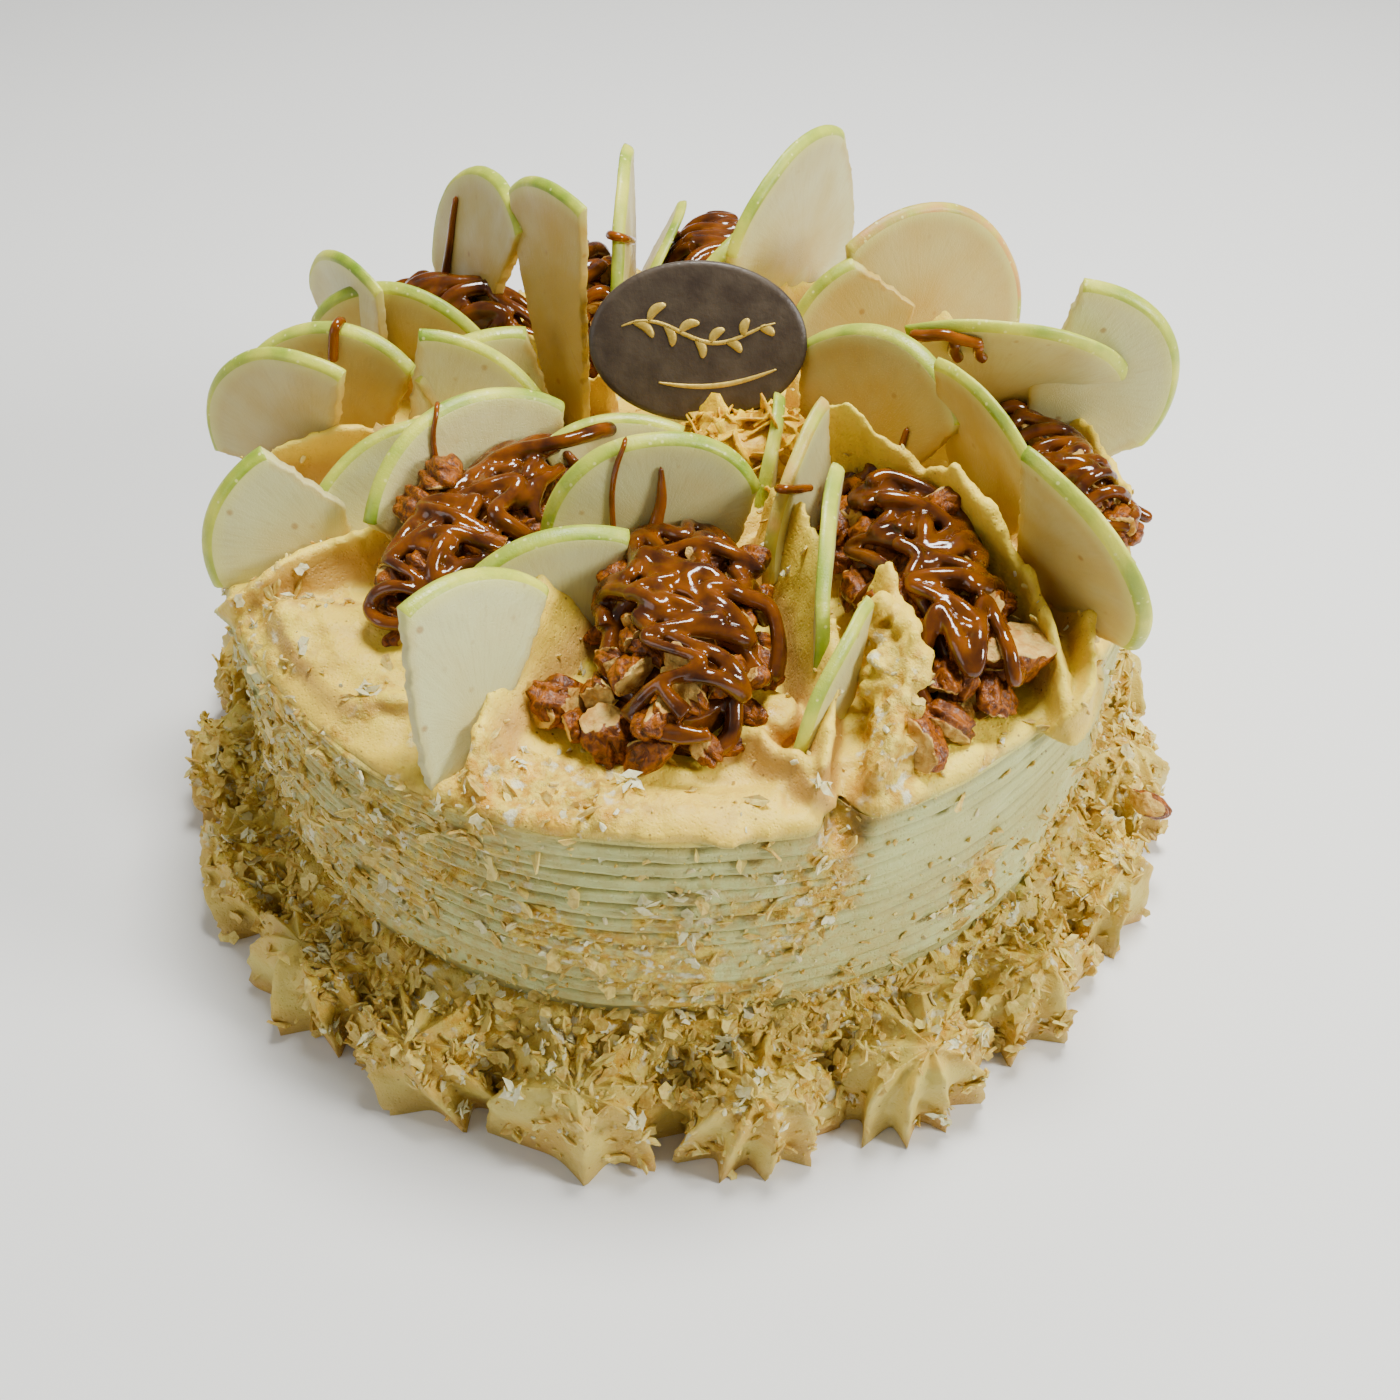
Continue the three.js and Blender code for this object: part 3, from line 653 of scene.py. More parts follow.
def topSlab():  # the level top with its soft rise, out to the rim
    rings = topMesh["rings"]
    radii = np.concatenate([np.linspace(0, topMesh["levelRadius"], rings), [r for r, _ in rimRoll]])
    lift = np.concatenate([np.zeros(rings), [z for _, z in rimRoll]])[:, None]
    turn = evenTurns(topMesh["columns"])
    r, t = np.meshgrid(radii, turn, indexing="ij")
    z = cake["height"] + cake["moundHeight"] * np.exp(-(r / cake["moundRadius"]) ** 4)
    flat = roundPlace(r, t, z)
    rimShare = smoothStep(98, 104, r)
    z = z + (0.7 * softNoise(flat, 14, 21) + 0.35 * softNoise(flat, 5, 22)) + topMesh["lift"] + lift
    z = z + rimShare * (0.5 * softNoise(flat, 11, 27) + 0.3 * softNoise(flat, 4, 28))
    drift = (r + 6 * softNoise(flat, 34, 23) + 5 * np.sin(t * 2 + 0.5)) / strokes["width"]
    ridge = (drift % 1) ** strokes["sharpness"] - 0.4
    shown = smoothStep(38, 52, r) * (1 - rimShare) * (0.6 + 0.5 * softNoise(flat, 22, 24))
    z = z + strokes["height"] * ridge * shown
    z = z + terraceRise(flat) * (1 - rimShare)
    pushed = notchShare(t - rotateFull * (t > math.pi)) * smoothStep(90, 99, r)
    z = z - topMesh["notchDrop"] * pushed
    r = r * (1 + (sideSwell(t) - 1) * smoothStep(80, 100, r)) + rimShare * 0.35 * softNoise(flat, 6, 29)
    r = r - notch["depth"] * pushed * rimShare
    low = roundPlace(r[-1], turn, np.full_like(turn, topMesh["underside"]))
    faces = gridFaces(len(radii) + 1, len(turn))
    faces.append([len(radii) * len(turn) + k for k in range(len(turn) - 1, -1, -1)])
    return np.concatenate([roundPlace(r, t, z).reshape(-1, 3), low]), faces


def raggedLip():
    x = np.linspace(-16, 20, 60)
    rows = []
    for k, (y, z) in enumerate(lipOutline):
        line = np.stack([x, np.full_like(x, y), np.full_like(x, z)], -1)
        torn = softNoise(line * (1, 0, 0) + (0, 0, 3.0), 5, 31) + 0.6 * softNoise(line * (1, 0, 0), 2.2, 32)
        line[:, 1] += (1.6 * torn * (3 <= k <= 6)) + 0.012 * (x - 2) ** 2 * (k < 8)
        line[:, 2] += 0.7 * softNoise(line * (1, 0.4, 0), 8, 33)
        rows.append(line)
    count, last = len(x), (len(rows) - 1) * len(x)
    faces = [face[::-1] for face in gridFaces(len(rows), count, wrap=False)]
    faces += [[k, k + 1, last + k + 1, last + k] for k in range(count - 1)]
    faces.append(list(range(0, last + 1, count)))
    faces.append(list(range(last + count - 1, 0, -count)))
    return np.concatenate(rows), faces


def brokenLumps():  # lumps on the top, and a ridge of small pieces
    points, faces = ballPoints(3)
    made = []
    for k, (at, half) in enumerate(creamLumps):
        made.append((points * half * (1 + 0.3 * softNoise(points, 0.7, k))[:, None] + at, faces))
    points, faces = ballPoints(1)
    draw = np.random.default_rng(19)
    for _ in range(brokenCream["count"]):
        share = draw.uniform(0, 1)
        at = (1 - share) * np.array(brokenCream["from"]) + share * np.array(brokenCream["to"])
        at = at + (brokenCream["bow"] * math.sin(math.pi * share), 0, 0)
        at = at + draw.uniform(-1, 1, 3) * brokenCream["spread"]
        sized = points * draw.uniform(0.6, 1.1, 3) * draw.uniform(*brokenCream["size"])
        made.append((sized @ np.array(Matrix.Rotation(draw.uniform(0, 3), 3, "X")) + at, faces))
    return made


def cutOff(mesh, height):  # takes away what is below that height, and closes the cut
    work = bmesh.new()
    work.from_mesh(mesh)
    cut = bmesh.ops.bisect_plane(
        work, geom=work.verts[:] + work.edges[:] + work.faces[:], plane_co=(0, 0, height * metresPerMm),
        plane_no=(0, 0, -1), clear_outer=True)
    rims = [item for item in cut["geom_cut"] if isinstance(item, bmesh.types.BMEdge)]
    bmesh.ops.holes_fill(work, edges=rims, sides=0)
    work.to_mesh(mesh)
    work.free()


def spreadTop():
    solids = [topSlab(), raggedLip()]
    solids += [petalSolid(petal, k) for k, petal in enumerate(petals)] + brokenLumps()
    mesh = melted(solids, petalMesh["voxel"], 0.4)
    cutOff(mesh, petalMesh["cutAt"])
    p, n = pointsOf(mesh), vertexValues(mesh, "normal")
    x, y, z = p.T
    around, r = np.degrees(np.arctan2(y, x)), np.hypot(x, y)
    up = smoothStep(84, 86, z)[:, None]
    marks = softNoise(p * (1, 1, 0.35), 3.2, 41) * 0.34 + softNoise(p * (1, 1, 0.35), 1.5, 42) * 0.16
    broken = bell(x, 42, 7, 4) * bell(y, -74, 21, 4) * smoothStep(110, 104, z)
    patch = bell(x, -26, 21, 4) * bell(y, -96, 10, 4)
    leftRim = bell(around, -139, 21) * smoothStep(76, 96, r) * smoothStep(-0.5, 0.1, softNoise(p, 12, 48))
    rightRim = bell(around, -58, 13, 4) * smoothStep(86, 95, r) * smoothStep(-0.6, 0.1, softNoise(p, 8, 59))
    rough = np.maximum(np.maximum(broken, np.maximum(patch, leftRim)), 0.6 * rightRim)
    crumbly = rough * (0.9 * softNoise(p, 3.4, 46) + 0.6 * softNoise(p, 1.8, 47))
    movePoints(mesh, p + n * up * (marks + crumbly + 0.6 * softNoise(p, 8, 43))[:, None])
    shadeSmooth(mesh)
    blotches = smoothStep(0.0, 0.6, softNoise(p, 9, 44))
    centre, stained = bell(x, 16, 14) * bell(y, -4, 16), bell(x, 21, 6) * bell(y, -82, 6)
    cover = 0.08 + 0.3 * blotches * smoothStep(70, 100, r) + 0.9 * patch + 0.5 * rightRim
    cover = cover + 0.8 * leftRim * (0.3 + blotches) + 0.5 * centre
    soaked = (0.8 * patch + 0.6 * rightRim + 0.5 * broken) * smoothStep(-0.1, 0.5, softNoise(p, 6, 45))
    # Painted shade on steep faces, most of all on the stepped knife marks. Where the top rolls over the rim,
    # upper gives it the side's painted shade.
    steep = 1 - np.abs(n[:, 2])
    stepped = smoothStep(0.06, 0.4, steep) * smoothStep(97, 91, z) * smoothStep(104, 100, r)
    setValues(
        mesh, crumbs=held(cover) * smoothStep(84.5, 85.5, z), amber=soaked + 0.5 * centre + 0.8 * stained,
        crust=1.0 * patch + 0.8 * leftRim + 0.4 * centre + 0.75 * broken + 0.7 * rightRim,
        upper=1 - 0.8 * smoothStep(85.5, 83, z + 1.2 * softNoise(p, 9, 9)) * smoothStep(98, 103, r),
        hollow=0.4 * steep * smoothStep(114, 92, z) + 0.08 * blotches + 0.7 * stepped * (1 - broken))
    return mesh


topSkin = spreadTop()
addPiece("cream_petals", topSkin, topCream, "cream", "iced_cake")
print("top made", len(topSkin.polygons))

# Piped border
border = {
    "stars": 20, "ringRadius": 116.0, "halfWidth": 22.5, "halfDepth": 16, "height": 23, "shelf": 23,
    "peakOut": 5.5, "lobes": 8, "lobeDepth": 0.34, "around": 140, "rows": 30, "bandColumns": 520,
}
# The lumpy cream between the stars and the side: radius and height.
bandOutline = [
    (104.4, 0), (118, 0), (118, 5), (117, 10), (114.5, 15), (111.5, 19), (109, 23), (107.5, 26), (104.4, 27.5),
]


def starSolid(turn, seed):  # a piped star that leans on the side: its inner lobes lie on a shelf of cream
    draw = np.random.default_rng(seed)
    swell, twist = draw.uniform(0.92, 1.04), draw.uniform(0, rotateFull)
    tall, peakOut = border["height"] * draw.uniform(0.84, 1.04), border["peakOut"] + draw.uniform(-2, 3)
    lobes = border["lobes"] + int(draw.integers(0, 2))
    angle = evenTurns(border["around"])[None]
    s = np.linspace(0.02, 1, border["rows"])[:, None]
    wander = 0.25 * np.sin(angle + twist) + 0.15 * np.sin(2 * angle + seed)
    wander = wander + 0.5 * s ** 2 * draw.uniform(-1, 1)
    lobe = 1 - np.abs(np.sin(lobes / 2 * (angle + wander) + twist)) ** 0.8
    inward = smoothStep(0.1, 0.8, -np.cos(angle))
    reach = 1 - border["lobeDepth"] * (1 - lobe) * s ** 0.5
    flatPart = np.sin(s * math.pi / 2) ** 0.85
    fall = np.cos(s * math.pi / 2) ** 0.75
    foot = border["shelf"] * inward
    x = peakOut + flatPart * (np.cos(angle) * border["halfDepth"] * swell * reach - peakOut)
    y = flatPart * np.sin(angle) * border["halfWidth"] * swell * reach
    z = foot + (tall - foot) * fall + (lobe - 0.4) * np.sin(math.pi * s) ** 0.8 * (2.4 + 1.8 * inward)
    z = np.maximum(z + draw.uniform(0, 2.5) * (1 - s) ** 3, 0)
    x, y, z = (np.concatenate([v, v[-1:]]) for v in (x, y, z))
    z[-1] = 0
    x = x + border["ringRadius"] + draw.uniform(-1, 1)
    points = np.stack([*turned(x, y, turn), z], -1).reshape(-1, 3)
    rough = 1.2 * softNoise(points, 7, seed) + 0.6 * softNoise(points, 3.2, seed + 2)
    rough = rough + 0.25 * softNoise(points, 1.6, seed + 1)
    outward = points - (border["ringRadius"] * math.cos(turn), border["ringRadius"] * math.sin(turn), 8)
    outward = outward / np.linalg.norm(outward, axis=1, keepdims=True)
    points = points + outward * (rough * smoothStep(0, 3, points[:, 2]))[:, None]
    points[:, 2] = np.maximum(points[:, 2], 0)
    rows, count = border["rows"] + 1, border["around"]
    faces = gridFaces(rows, count)
    faces += [list(range(count - 1, -1, -1)), [(rows - 1) * count + k for k in range(count)]]
    return points, faces


def bandSolid():
    turn = evenTurns(border["bandColumns"])
    profile = np.array(bandOutline)
    r, z = (np.repeat(profile[:, k:k + 1], len(turn), 1) for k in range(2))
    t = np.repeat(turn[None], len(profile), 0)
    flat = roundPlace(r, t, z)
    lumps = 1.5 * softNoise(flat, 9, 51) + 1.1 * softNoise(flat, 3.5, 52)
    moved = lumps * smoothStep(104.4, 107, r) * (z > 0.5)
    points = roundPlace(r + moved, t, np.maximum(z + moved, 0)).reshape(-1, 3)
    last = (len(profile) - 1) * len(turn)
    faces = gridFaces(len(profile), len(turn))
    faces += [[last + k, last + (k + 1) % len(turn), (k + 1) % len(turn), k] for k in range(len(turn))]
    return points, faces


def pipedBorder():
    parts = [bandSolid()]
    for star in range(border["stars"]):
        parts.append(starSolid((star + 0.45) * rotateFull / border["stars"], 60 + star))
    mesh = meshOf("pipedBorder", *joined(parts))
    outwardFaces(mesh)
    p, n = pointsOf(mesh), vertexValues(mesh, "normal")
    x, y, z = p.T
    r = np.hypot(x, y)
    blotches = smoothStep(-0.4, 0.3, softNoise(p, 8, 53))
    upper = smoothStep(0.0, 0.5, n[:, 2]) * smoothStep(131, 119, r)
    bare = smoothStep(0.1, 0.5, softNoise(p, 13, 55)) * smoothStep(114, 118, r)
    cover = ((0.45 + 0.55 * blotches) * upper + 0.4 * blotches) * (1 - 0.7 * bare)
    crust = held(cover * 1.2 - 0.1)
    lumps = 0.9 * softNoise(p, 3.2, 56) + 0.5 * softNoise(p, 1.7, 57)
    movePoints(mesh, p + n * (crust * smoothStep(1, 5, z) * lumps)[:, None])
    # Painted shade over the whole border, deeper towards its foot and uneven in patches. upper holds the
    # border between the top's painted light and the side's painted shade.
    setValues(
        mesh, crust=crust, crumbs=held(cover) * smoothStep(1, 4, z), upper=0.55 + 0.3 * blotches,
        hollow=0.36 + 0.4 * smoothStep(12, 0, z) + 0.25 * blotches,
        amber=0.25 * upper * smoothStep(0.2, 0.7, softNoise(p, 6, 54)))
    return mesh


borderSkin = pipedBorder()
addPiece("piped_stars", borderSkin, topCream, "cream", "piped_border")
print("border made", len(borderSkin.polygons))

# Apple slices
# A slice is part of a disc: its centre, the way its face looks, its tilt, radius, the arc that has
# rind, the corners of its cut edge, how much caramel has soaked in, and how pink its skin is.
sliceParts = ("at", "turn", "tilt", "radius", "arc", "cut", "soaked", "blush")
slices = [dict(zip(sliceParts, row)) for row in [
    ((-88, 10, 89), -110, 0, 29.5, (65, 188), [(4, -5)], 0.7, 0),
    ((-82, 23, 87), -105, 5, 29.5, (48, 160), [(-10, -1), (9, -1)], 0.75, 0),
    ((-61, 15, 87), -92, 5, 33, (18, 89), [(-6, 0), (12, -1)], 0.3, 0),
    ((-41, 17, 89), -77, 11, 29.5, (78, 138), [(-12, 0), (12, 3)], 0.55, 0),
    ((-42, -16, 88), -55, 15, 33, (46, 155), [(-20, 2), (16, 2)], 0.4, 0),
    ((-53, -21, 81), -72, 25, 34.5, (84, 148), [(-24, 9), (4, 6)], 0.15, 0),
    ((-77, -25, 90), -72, 13, 28, (113, 190), [(-12, -7), (4, -4), (4, 10)], 0.15, 0),
    ((-80, 48, 94), -139, -3, 28, (62, 160), [(-18, -6), (8, -6)], 0.35, 0),
    ((-68, 45, 89), -107, -9, 29.5, (42, 148), [(-18, 0), (14, -1)], 0.75, 0),
    ((-50, 58, 106), -151, 10, 31.5, (54, 188), [(-18, -18), (-8, -23)], 0.7, 0),
    ((-29, 31, 111), -143, 4, 36.5, (76, 131), [(-16, 8), (2, -27), (12, -27)], 0.95, 0),
    ((-14, 84, 102), -4, 0, 31, (78, 180), [(-24, -12), (2, -12)], 0.6, 0),
    ((-13, 85, 92), 175, 25, 30, (0, 95), [(-3, 2), (20, -4)], 0.6, 0),
    ((31, 83, 105), -37, -3, 34, (59, 158), [(-24, -14), (30, -14), (25, 11)], 0.3, 0),
    ((20, 72, 94), -45, 0, 27.5, (20, 142), [(-16, -2), (20, -2)], 0.45, 0),
    ((60, 54, 100), -67, 9, 32, (-12, 128), [(-16, -10), (22, -12)], 0.75, 0.9),
    ((53, 46, 96), -82, 8, 29, (112, 158), [(-20, -2), (2, -2), (6, 14)], 0.8, 0.2),
    ((89, 18, 106), -97, -2, 29, (-32, 87), [(-1, 16), (-6, 0), (-3, -22), (9, -23)], 0.15, 0),
    ((73, 24, 99), -97, -30, 35.5, (2, 126), [(-14, 0), (-8, -17), (16, -17)], 0.3, 0),
    ((43, 0, 100), -130, 11, 29, (36, 140), [(-14, -15), (4, -16), (18, 8)], 0.95, 0),
    ((67, -12, 97), -150, -15, 35, (33, 106), [(-7, -12), (8, -14), (20, 6)], 0.85, 0),
    ((74, -38, 103), -147, -18, 32, (-24, 84), [(-2, -4), (6, -14)], 0.7, 0),
    ((-5, -34, 101), -79, 5, 25, (22, 184), [(-18, -14), (14, -14)], 0.3, 0),
    ((-12, -18, 86), -85, 24, 30, (62, 128), [(-12, 8), (8, 8)], 0.4, 0),
    ((-22, -52, 80), -74, 8, 33.5, (66, 136), [(-14, 8), (6, 8)], 0.1, 0),
    ((-39, -82, 92), -44, 19, 31, (33, 104), [(-13, 8), (-15, -7), (-2, -5), (10, 3)], 0.0, 0),
    ((33, -15, 92), -28, 3, 32, (92, 176), [(-14, -3), (0, 4)], 0.3, 0.6),
    ((32, -40, 87), -12, 0, 34, (80, 165), [(-20, 0), (-4, 8)], 0.25, 0),
    ((38, -64, 79), -29, 0, 32, (92, 160), [(-22, 5), (-6, 9)], 0.2, 0),
    ((23, 8, 86), -8, 0, 27, (98, 160), [(-18, 2), (-2, 8)], 0.4, 0),
]]
sliceCut = {"thickness": 2.6, "pointEvery": 1.0, "curl": 1.5, "warmer": 0.4, "brownEdge": 0.35, "uvSize": 30}
# Rings from the front face round the rim to the back: level, inset of the arc, inset of the cut, rind.
sliceRings = [
    (0.5, 2.5, 0.7, 0), (0.47, 1.5, 0.2, 1), (0.3, 0.9, 0, 1), (-0.1, 0.2, 0, 1), (-0.4, 0, 0, 1),
    (-0.5, 0.35, 0.2, 1), (-0.5, 1.1, 0.8, 0),
]
sliceShares = (0.1, 0.25, 0.45, 0.7)  # how far each ring on a face lies towards its middle


def sliceOutline(wedge, seed):  # the points of its rind, and those of its cut edge
    (low, high), radius, every = wedge["arc"], wedge["radius"], sliceCut["pointEvery"]
    angle = np.radians(np.linspace(low, high, max(12, int(math.radians(high - low) * radius / every)) + 1))
    wobble = 1 + 0.006 * np.sin(angle * 5 + seed)
    rim = np.stack([np.cos(angle) * radius * wobble, np.sin(angle) * radius * wobble], -1)
    corners = [rim[-1]] + [np.array(corner, float) for corner in wedge["cut"]] + [rim[0]]
    edge = []
    for k, (a, b) in enumerate(zip(corners, corners[1:])):
        length = np.hypot(*(b - a))
        stops = list(np.linspace(0, 1, max(3, int(length / every)) + 1)[1:])
        if k == 0:  # a point close to each end of the rind keeps its corner crisp
            stops.insert(0, min(0.4 * stops[0], 0.45 / length))
        if k == len(corners) - 2:
            stops[-1] = max(1 - 0.4 * stops[0], 1 - 0.45 / length)
        across = np.array([a[1] - b[1], b[0] - a[0]]) / length
        for share in stops:
            gone = share * length
            torn = 0.28 * math.sin(gone * 1.1 + seed * 2 + k) + 0.2 * math.sin(gone * 2.7 + seed)
            edge.append(a + (b - a) * share + across * torn * math.sin(math.pi * share))
    return rim, np.array(edge)


def heartOf(outline):  # a place inside from which the whole outline is seen
    low, high = outline.min(0), outline.max(0)
    gx, gy = np.meshgrid(np.linspace(low[0], high[0], 40), np.linspace(low[1], high[1], 40))
    spots = np.stack([gx.ravel(), gy.ravel()], -1)
    ahead = unit(np.roll(outline, -1, 0) - outline)
    away = spots[:, None] - outline[None]
    clear = ahead[None, :, 0] * away[..., 1] - ahead[None, :, 1] * away[..., 0]
    return spots[np.argmax(np.quantile(clear, 0.03, axis=1))]


def sliceAxes(wedge):  # along its face level, up its face, and out of its face
    turn, tilt = math.radians(wedge["turn"]), math.radians(wedge["tilt"])
    level = np.array([-math.sin(turn), math.cos(turn), 0])
    face = np.array([math.cos(turn) * math.cos(tilt), math.sin(turn) * math.cos(tilt), math.sin(tilt)])
    return np.stack([level, np.cross(face, level), face])


def sliceBend(local, index):  # how far the slice bends out of flat
    spots = local * (1, 1, 0) + (0, 0, index * 9)
    waves = 0.5 * softNoise(spots, 13, 70) + 0.12 * softNoise(spots, 5, 71)
    return sliceCut["curl"] * math.sin(index * 1.7) * ((local[:, 0] / 20) ** 2 - 0.35) + waves


def drawnIn(points, radius, inset):  # pulls the rind inwards, less and less towards the middle
    reach = np.linalg.norm(points, axis=1, keepdims=True)
    return points * (1 - inset / reach * smoothStep(radius - 8, radius, reach))


def sliceMesh(wedge, index):
    rim, edge = sliceOutline(wedge, index)
    outline = np.concatenate([rim, edge])
    hasRind = np.concatenate([np.ones(len(rim)), np.zeros(len(edge))])
    heart = heartOf(outline)
    toHeart = (heart - outline) / np.linalg.norm(heart - outline, axis=1, keepdims=True)
    toCorner = np.minimum(*(np.linalg.norm(outline - corner, axis=1) for corner in (rim[0], rim[-1])))
    cutShare = np.where(hasRind > 0, np.exp(-toCorner / 1.2), 1)[:, None]
    thickness = sliceCut["thickness"] + 0.5 * math.sin(index * 2.4)
    rings = []
    for level, rimInset, cutInset, _ in sliceRings:
        shrunk = drawnIn(outline + toHeart * cutInset * cutShare, wedge["radius"], rimInset)
        rings.append(np.column_stack([shrunk, np.full(len(outline), level * thickness)]))
    middles = np.array([[*heart, 0.5 * thickness], [*heart, -0.5 * thickness]])
    front = [rings[0] + (middles[0] - rings[0]) * share for share in sliceShares[::-1]]
    back = [rings[-1] + (middles[1] - rings[-1]) * share for share in sliceShares]
    local = np.concatenate(front + rings + back + [middles])
    rows, count = len(sliceRings) + 2 * len(sliceShares), len(outline)
    end = (rows - 1) * count
    faces = gridFaces(rows, count)
    faces += [[rows * count, (k + 1) % count, k] for k in range(count)]
    faces += [[rows * count + 1, end + k, end + (k + 1) % count] for k in range(count)]
    skinDistance = wedge["radius"] - np.hypot(local[:, 0], local[:, 1])
    uvPlace = local[:, :2] / sliceCut["uvSize"]
    local[:, 2] += sliceBend(local, index)
    mesh = meshOf("slice", np.array(wedge["at"]) + local @ sliceAxes(wedge), faces)
    outwardFaces(mesh)

    def onRings(values):  # values for the rings between the two faces, and 0 on the faces
        onFace = np.zeros(count * len(sliceShares))
        return np.concatenate([onFace, *values, onFace, np.zeros(2)])
    browned = sliceCut["brownEdge"] * onRings([1 - hasRind] * len(sliceRings))
    setValues(
        mesh, rind=onRings([ring[3] * hasRind for ring in sliceRings]), blush=wedge["blush"],
        tone=wedge["soaked"] + sliceCut["warmer"] * (smoothStep(8, 36, skinDistance) - 0.2) + browned,
        nearSkin=smoothStep(7, 1, skinDistance))
    uv = mesh.uv_layers.new(name="face")
    corners = np.empty(len(mesh.loops), np.int32)
    mesh.loops.foreach_get("vertex_index", corners)
    uv.data.foreach_set("uv", uvPlace[corners].ravel())
    return mesh


for index, wedge in enumerate(slices):
    name = f"apple_slice_{index + 1:02d}"
    addPiece(f"thin_{name}", sliceMesh(wedge, index), apple, "apple", name)
print("slices made")

# Pecans under caramel
# Each heap has its middle, size, direction, how many nuts and strands of caramel show, and a seed.
heapParts = ("name", "at", "size", "turn", "nuts", "strands", "seed")
heaps = [dict(zip(heapParts, row)) for row in [
    ("front", (0.5, -59), (66, 36, 20), -86, 34, 6, 3),
    ("right", (51, -42), (82, 31, 19), -74, 34, 8, 11),
    ("left", (-41, -28), (76, 29, 20), -124, 26, 7, 5),
    ("far_right", (88, 3), (58, 18, 12), -58, 16, 3, 8),
    ("far_left", (-54, 56), (58, 20, 20), 152, 16, 3, 21),
    ("back_left", (-26, 72), (56, 20, 22), 102, 12, 2, 13),
    ("back_right", (9, 78), (48, 28, 24), 84, 16, 4, 17),
]]
nutShape = {"length": 1.3, "width": 0.9, "height": 0.72, "groove": 0.24, "wrinkle": 0.09}
strandShape = {
    "radius": 1.75, "swing": (6, 11), "pitch": (5.0, 6.4), "turns": (4, 8), "over": 2.4, "voxel": 0.5,
}
mound = {"share": 0.78, "drop": 5.2, "rows": 14, "around": 40}
# Nuts that lie in plain view: where, and how big.
bareNuts = [
    ((-23, -75, 91), 5.6), ((-13.8, -83, 90.5), 5.6), ((-5.9, -87.2, 90), 5.0), ((-27.5, -76, 89.5), 4.6),
    ((-15.7, -74, 93), 4.8), ((-4.7, -76, 92.5), 4.8), ((-20.5, -80, 89.5), 4.0), ((4.2, -49, 107.5), 4.8),
    ((13.5, -49, 105.5), 4.8), ((5, -76, 94), 4.6), ((17.4, -68, 95.5), 4.6), ((2, -62, 103), 4.4),
    ((68, -65, 96), 8.4), ((63, -55, 97), 5.0), ((47, -84, 91), 6.2), ((53, -81, 91.5), 4.8),
    ((55, -30, 107), 5.0), ((60, -43, 103), 5.0), ((52, -56, 102), 4.6), ((-52, -22, 107), 6.2),
    ((-54.5, -30, 103.5), 6.2), ((-55, -38, 100), 5.0), ((-40, -41, 103), 4.8), ((-59, -42, 96), 4.6),
    ((90, -1, 98), 4.6), ((96, -11, 93), 4.6), ((101, -18, 91), 4.2), ((116.5, -42, 24.5), 4.4),
    ((58, 56, 98), 5.0), ((-71, 51, 96), 4.6),
]
# Strands of caramel in plain view: the heap, the thickness, and the way each takes.
laidStrands = [
    ("front", 1.9, [(-11.7, -55, 101), (-13.5, -63, 99), (-14.5, -70, 96), (-12, -74, 94), (-6.6, -77, 92),
        (-2.6, -81, 90), (2.3, -85, 89.5), (7, -86.6, 90), (10.3, -84.5, 92), (10.8, -80, 96),
        (9.7, -74, 99.5)]),
    ("front", 1.7, [(-7.9, -58, 104.5), (-11.6, -59, 101.5), (-13, -64.4, 98), (-11.3, -71, 96),
        (-7.6, -73, 97), (-4.7, -69, 100.5), (-5.8, -64, 104), (-3, -60, 107)]),
    ("front", 1.6, [(-8, -50, 107), (-2, -49, 109), (4, -48.5, 110.5), (11, -51, 110), (17.5, -53, 107)]),
    ("front", 1.8, [(-8, -53.5, 106.5), (-2, -55, 108.5), (5, -56, 109.5), (11, -60, 107.5),
        (18, -61, 104.5), (20, -67, 99.5), (19, -73, 95)]),
    ("front", 1.8, [(-8, -62, 105), (-3, -59.5, 107.5), (3, -62, 108), (7, -68, 104.5), (12.5, -71, 102),
        (18, -75, 96)]),
    ("front", 1.6, [(-2, -66, 104.5), (0, -73, 99), (4, -78, 95), (9, -79, 95), (13, -75, 98),
        (14, -68, 102.5), (10, -64, 106)]),
    ("left", 2.6, [(-43.8, -40, 105), (-48.9, -43, 102), (-53.3, -45, 98), (-58.3, -48, 94),
        (-62.5, -50.5, 90.5), (-65, -54, 89), (-68, -57, 88.3), (-70, -60, 88)]),
    ("left", 2.2, [(-42, -43, 104), (-48, -46, 99), (-54, -50, 94), (-60, -54.5, 90), (-64.5, -58, 88.8)]),
    ("left", 1.8, [(-13, -3, 108), (-17.7, -10, 111.5), (-24, -15, 112.5), (-30.5, -16, 111.5),
        (-36.7, -16.5, 110), (-41.2, -18, 108), (-44.2, -22, 105), (-45.4, -29, 102.5)]),
    ("left", 1.7, [(-34, -18, 108), (-31, -24, 107.5), (-34, -30, 107), (-40, -32, 106.5),
        (-45, -37, 103.5), (-49, -42, 100)]),
    ("right", 1.9, [(40, -26, 109), (45, -24, 110), (53.4, -28, 109), (60, -32.5, 105.5), (61, -39, 102.5),
        (54, -41, 105.5), (47, -38.5, 108)]),
    ("right", 1.8, [(41, -32, 110), (47, -33, 110.5), (54, -35, 108.5), (60, -40, 104), (62, -48, 101)]),
    ("right", 1.8, [(43, -60, 105), (45, -67, 101), (46.8, -74, 97), (48.7, -78, 94), (52, -81, 91.5)]),
    ("right", 1.7, [(50, -50, 106), (54, -55, 104), (59, -56, 101), (61, -60, 98.5), (57, -64, 98.5),
        (52, -63, 101)]),
    ("right", 1.7, [(44, -44, 108.5), (49, -48, 107.5), (47, -54, 106), (50, -60, 103), (54, -68, 97.5),
        (57, -74, 93.5)]),
    ("far_right", 1.7, [(92.7, 4.9, 100), (95.3, -2.9, 97.5), (97, -9, 95), (104, -10, 91.5),
        (110, -10.5, 88.5)]),
    ("far_right", 1.7, [(87.9, -3, 99), (93.2, -9, 96), (98.5, -15, 93), (101.5, -21.5, 90.5)]),
]


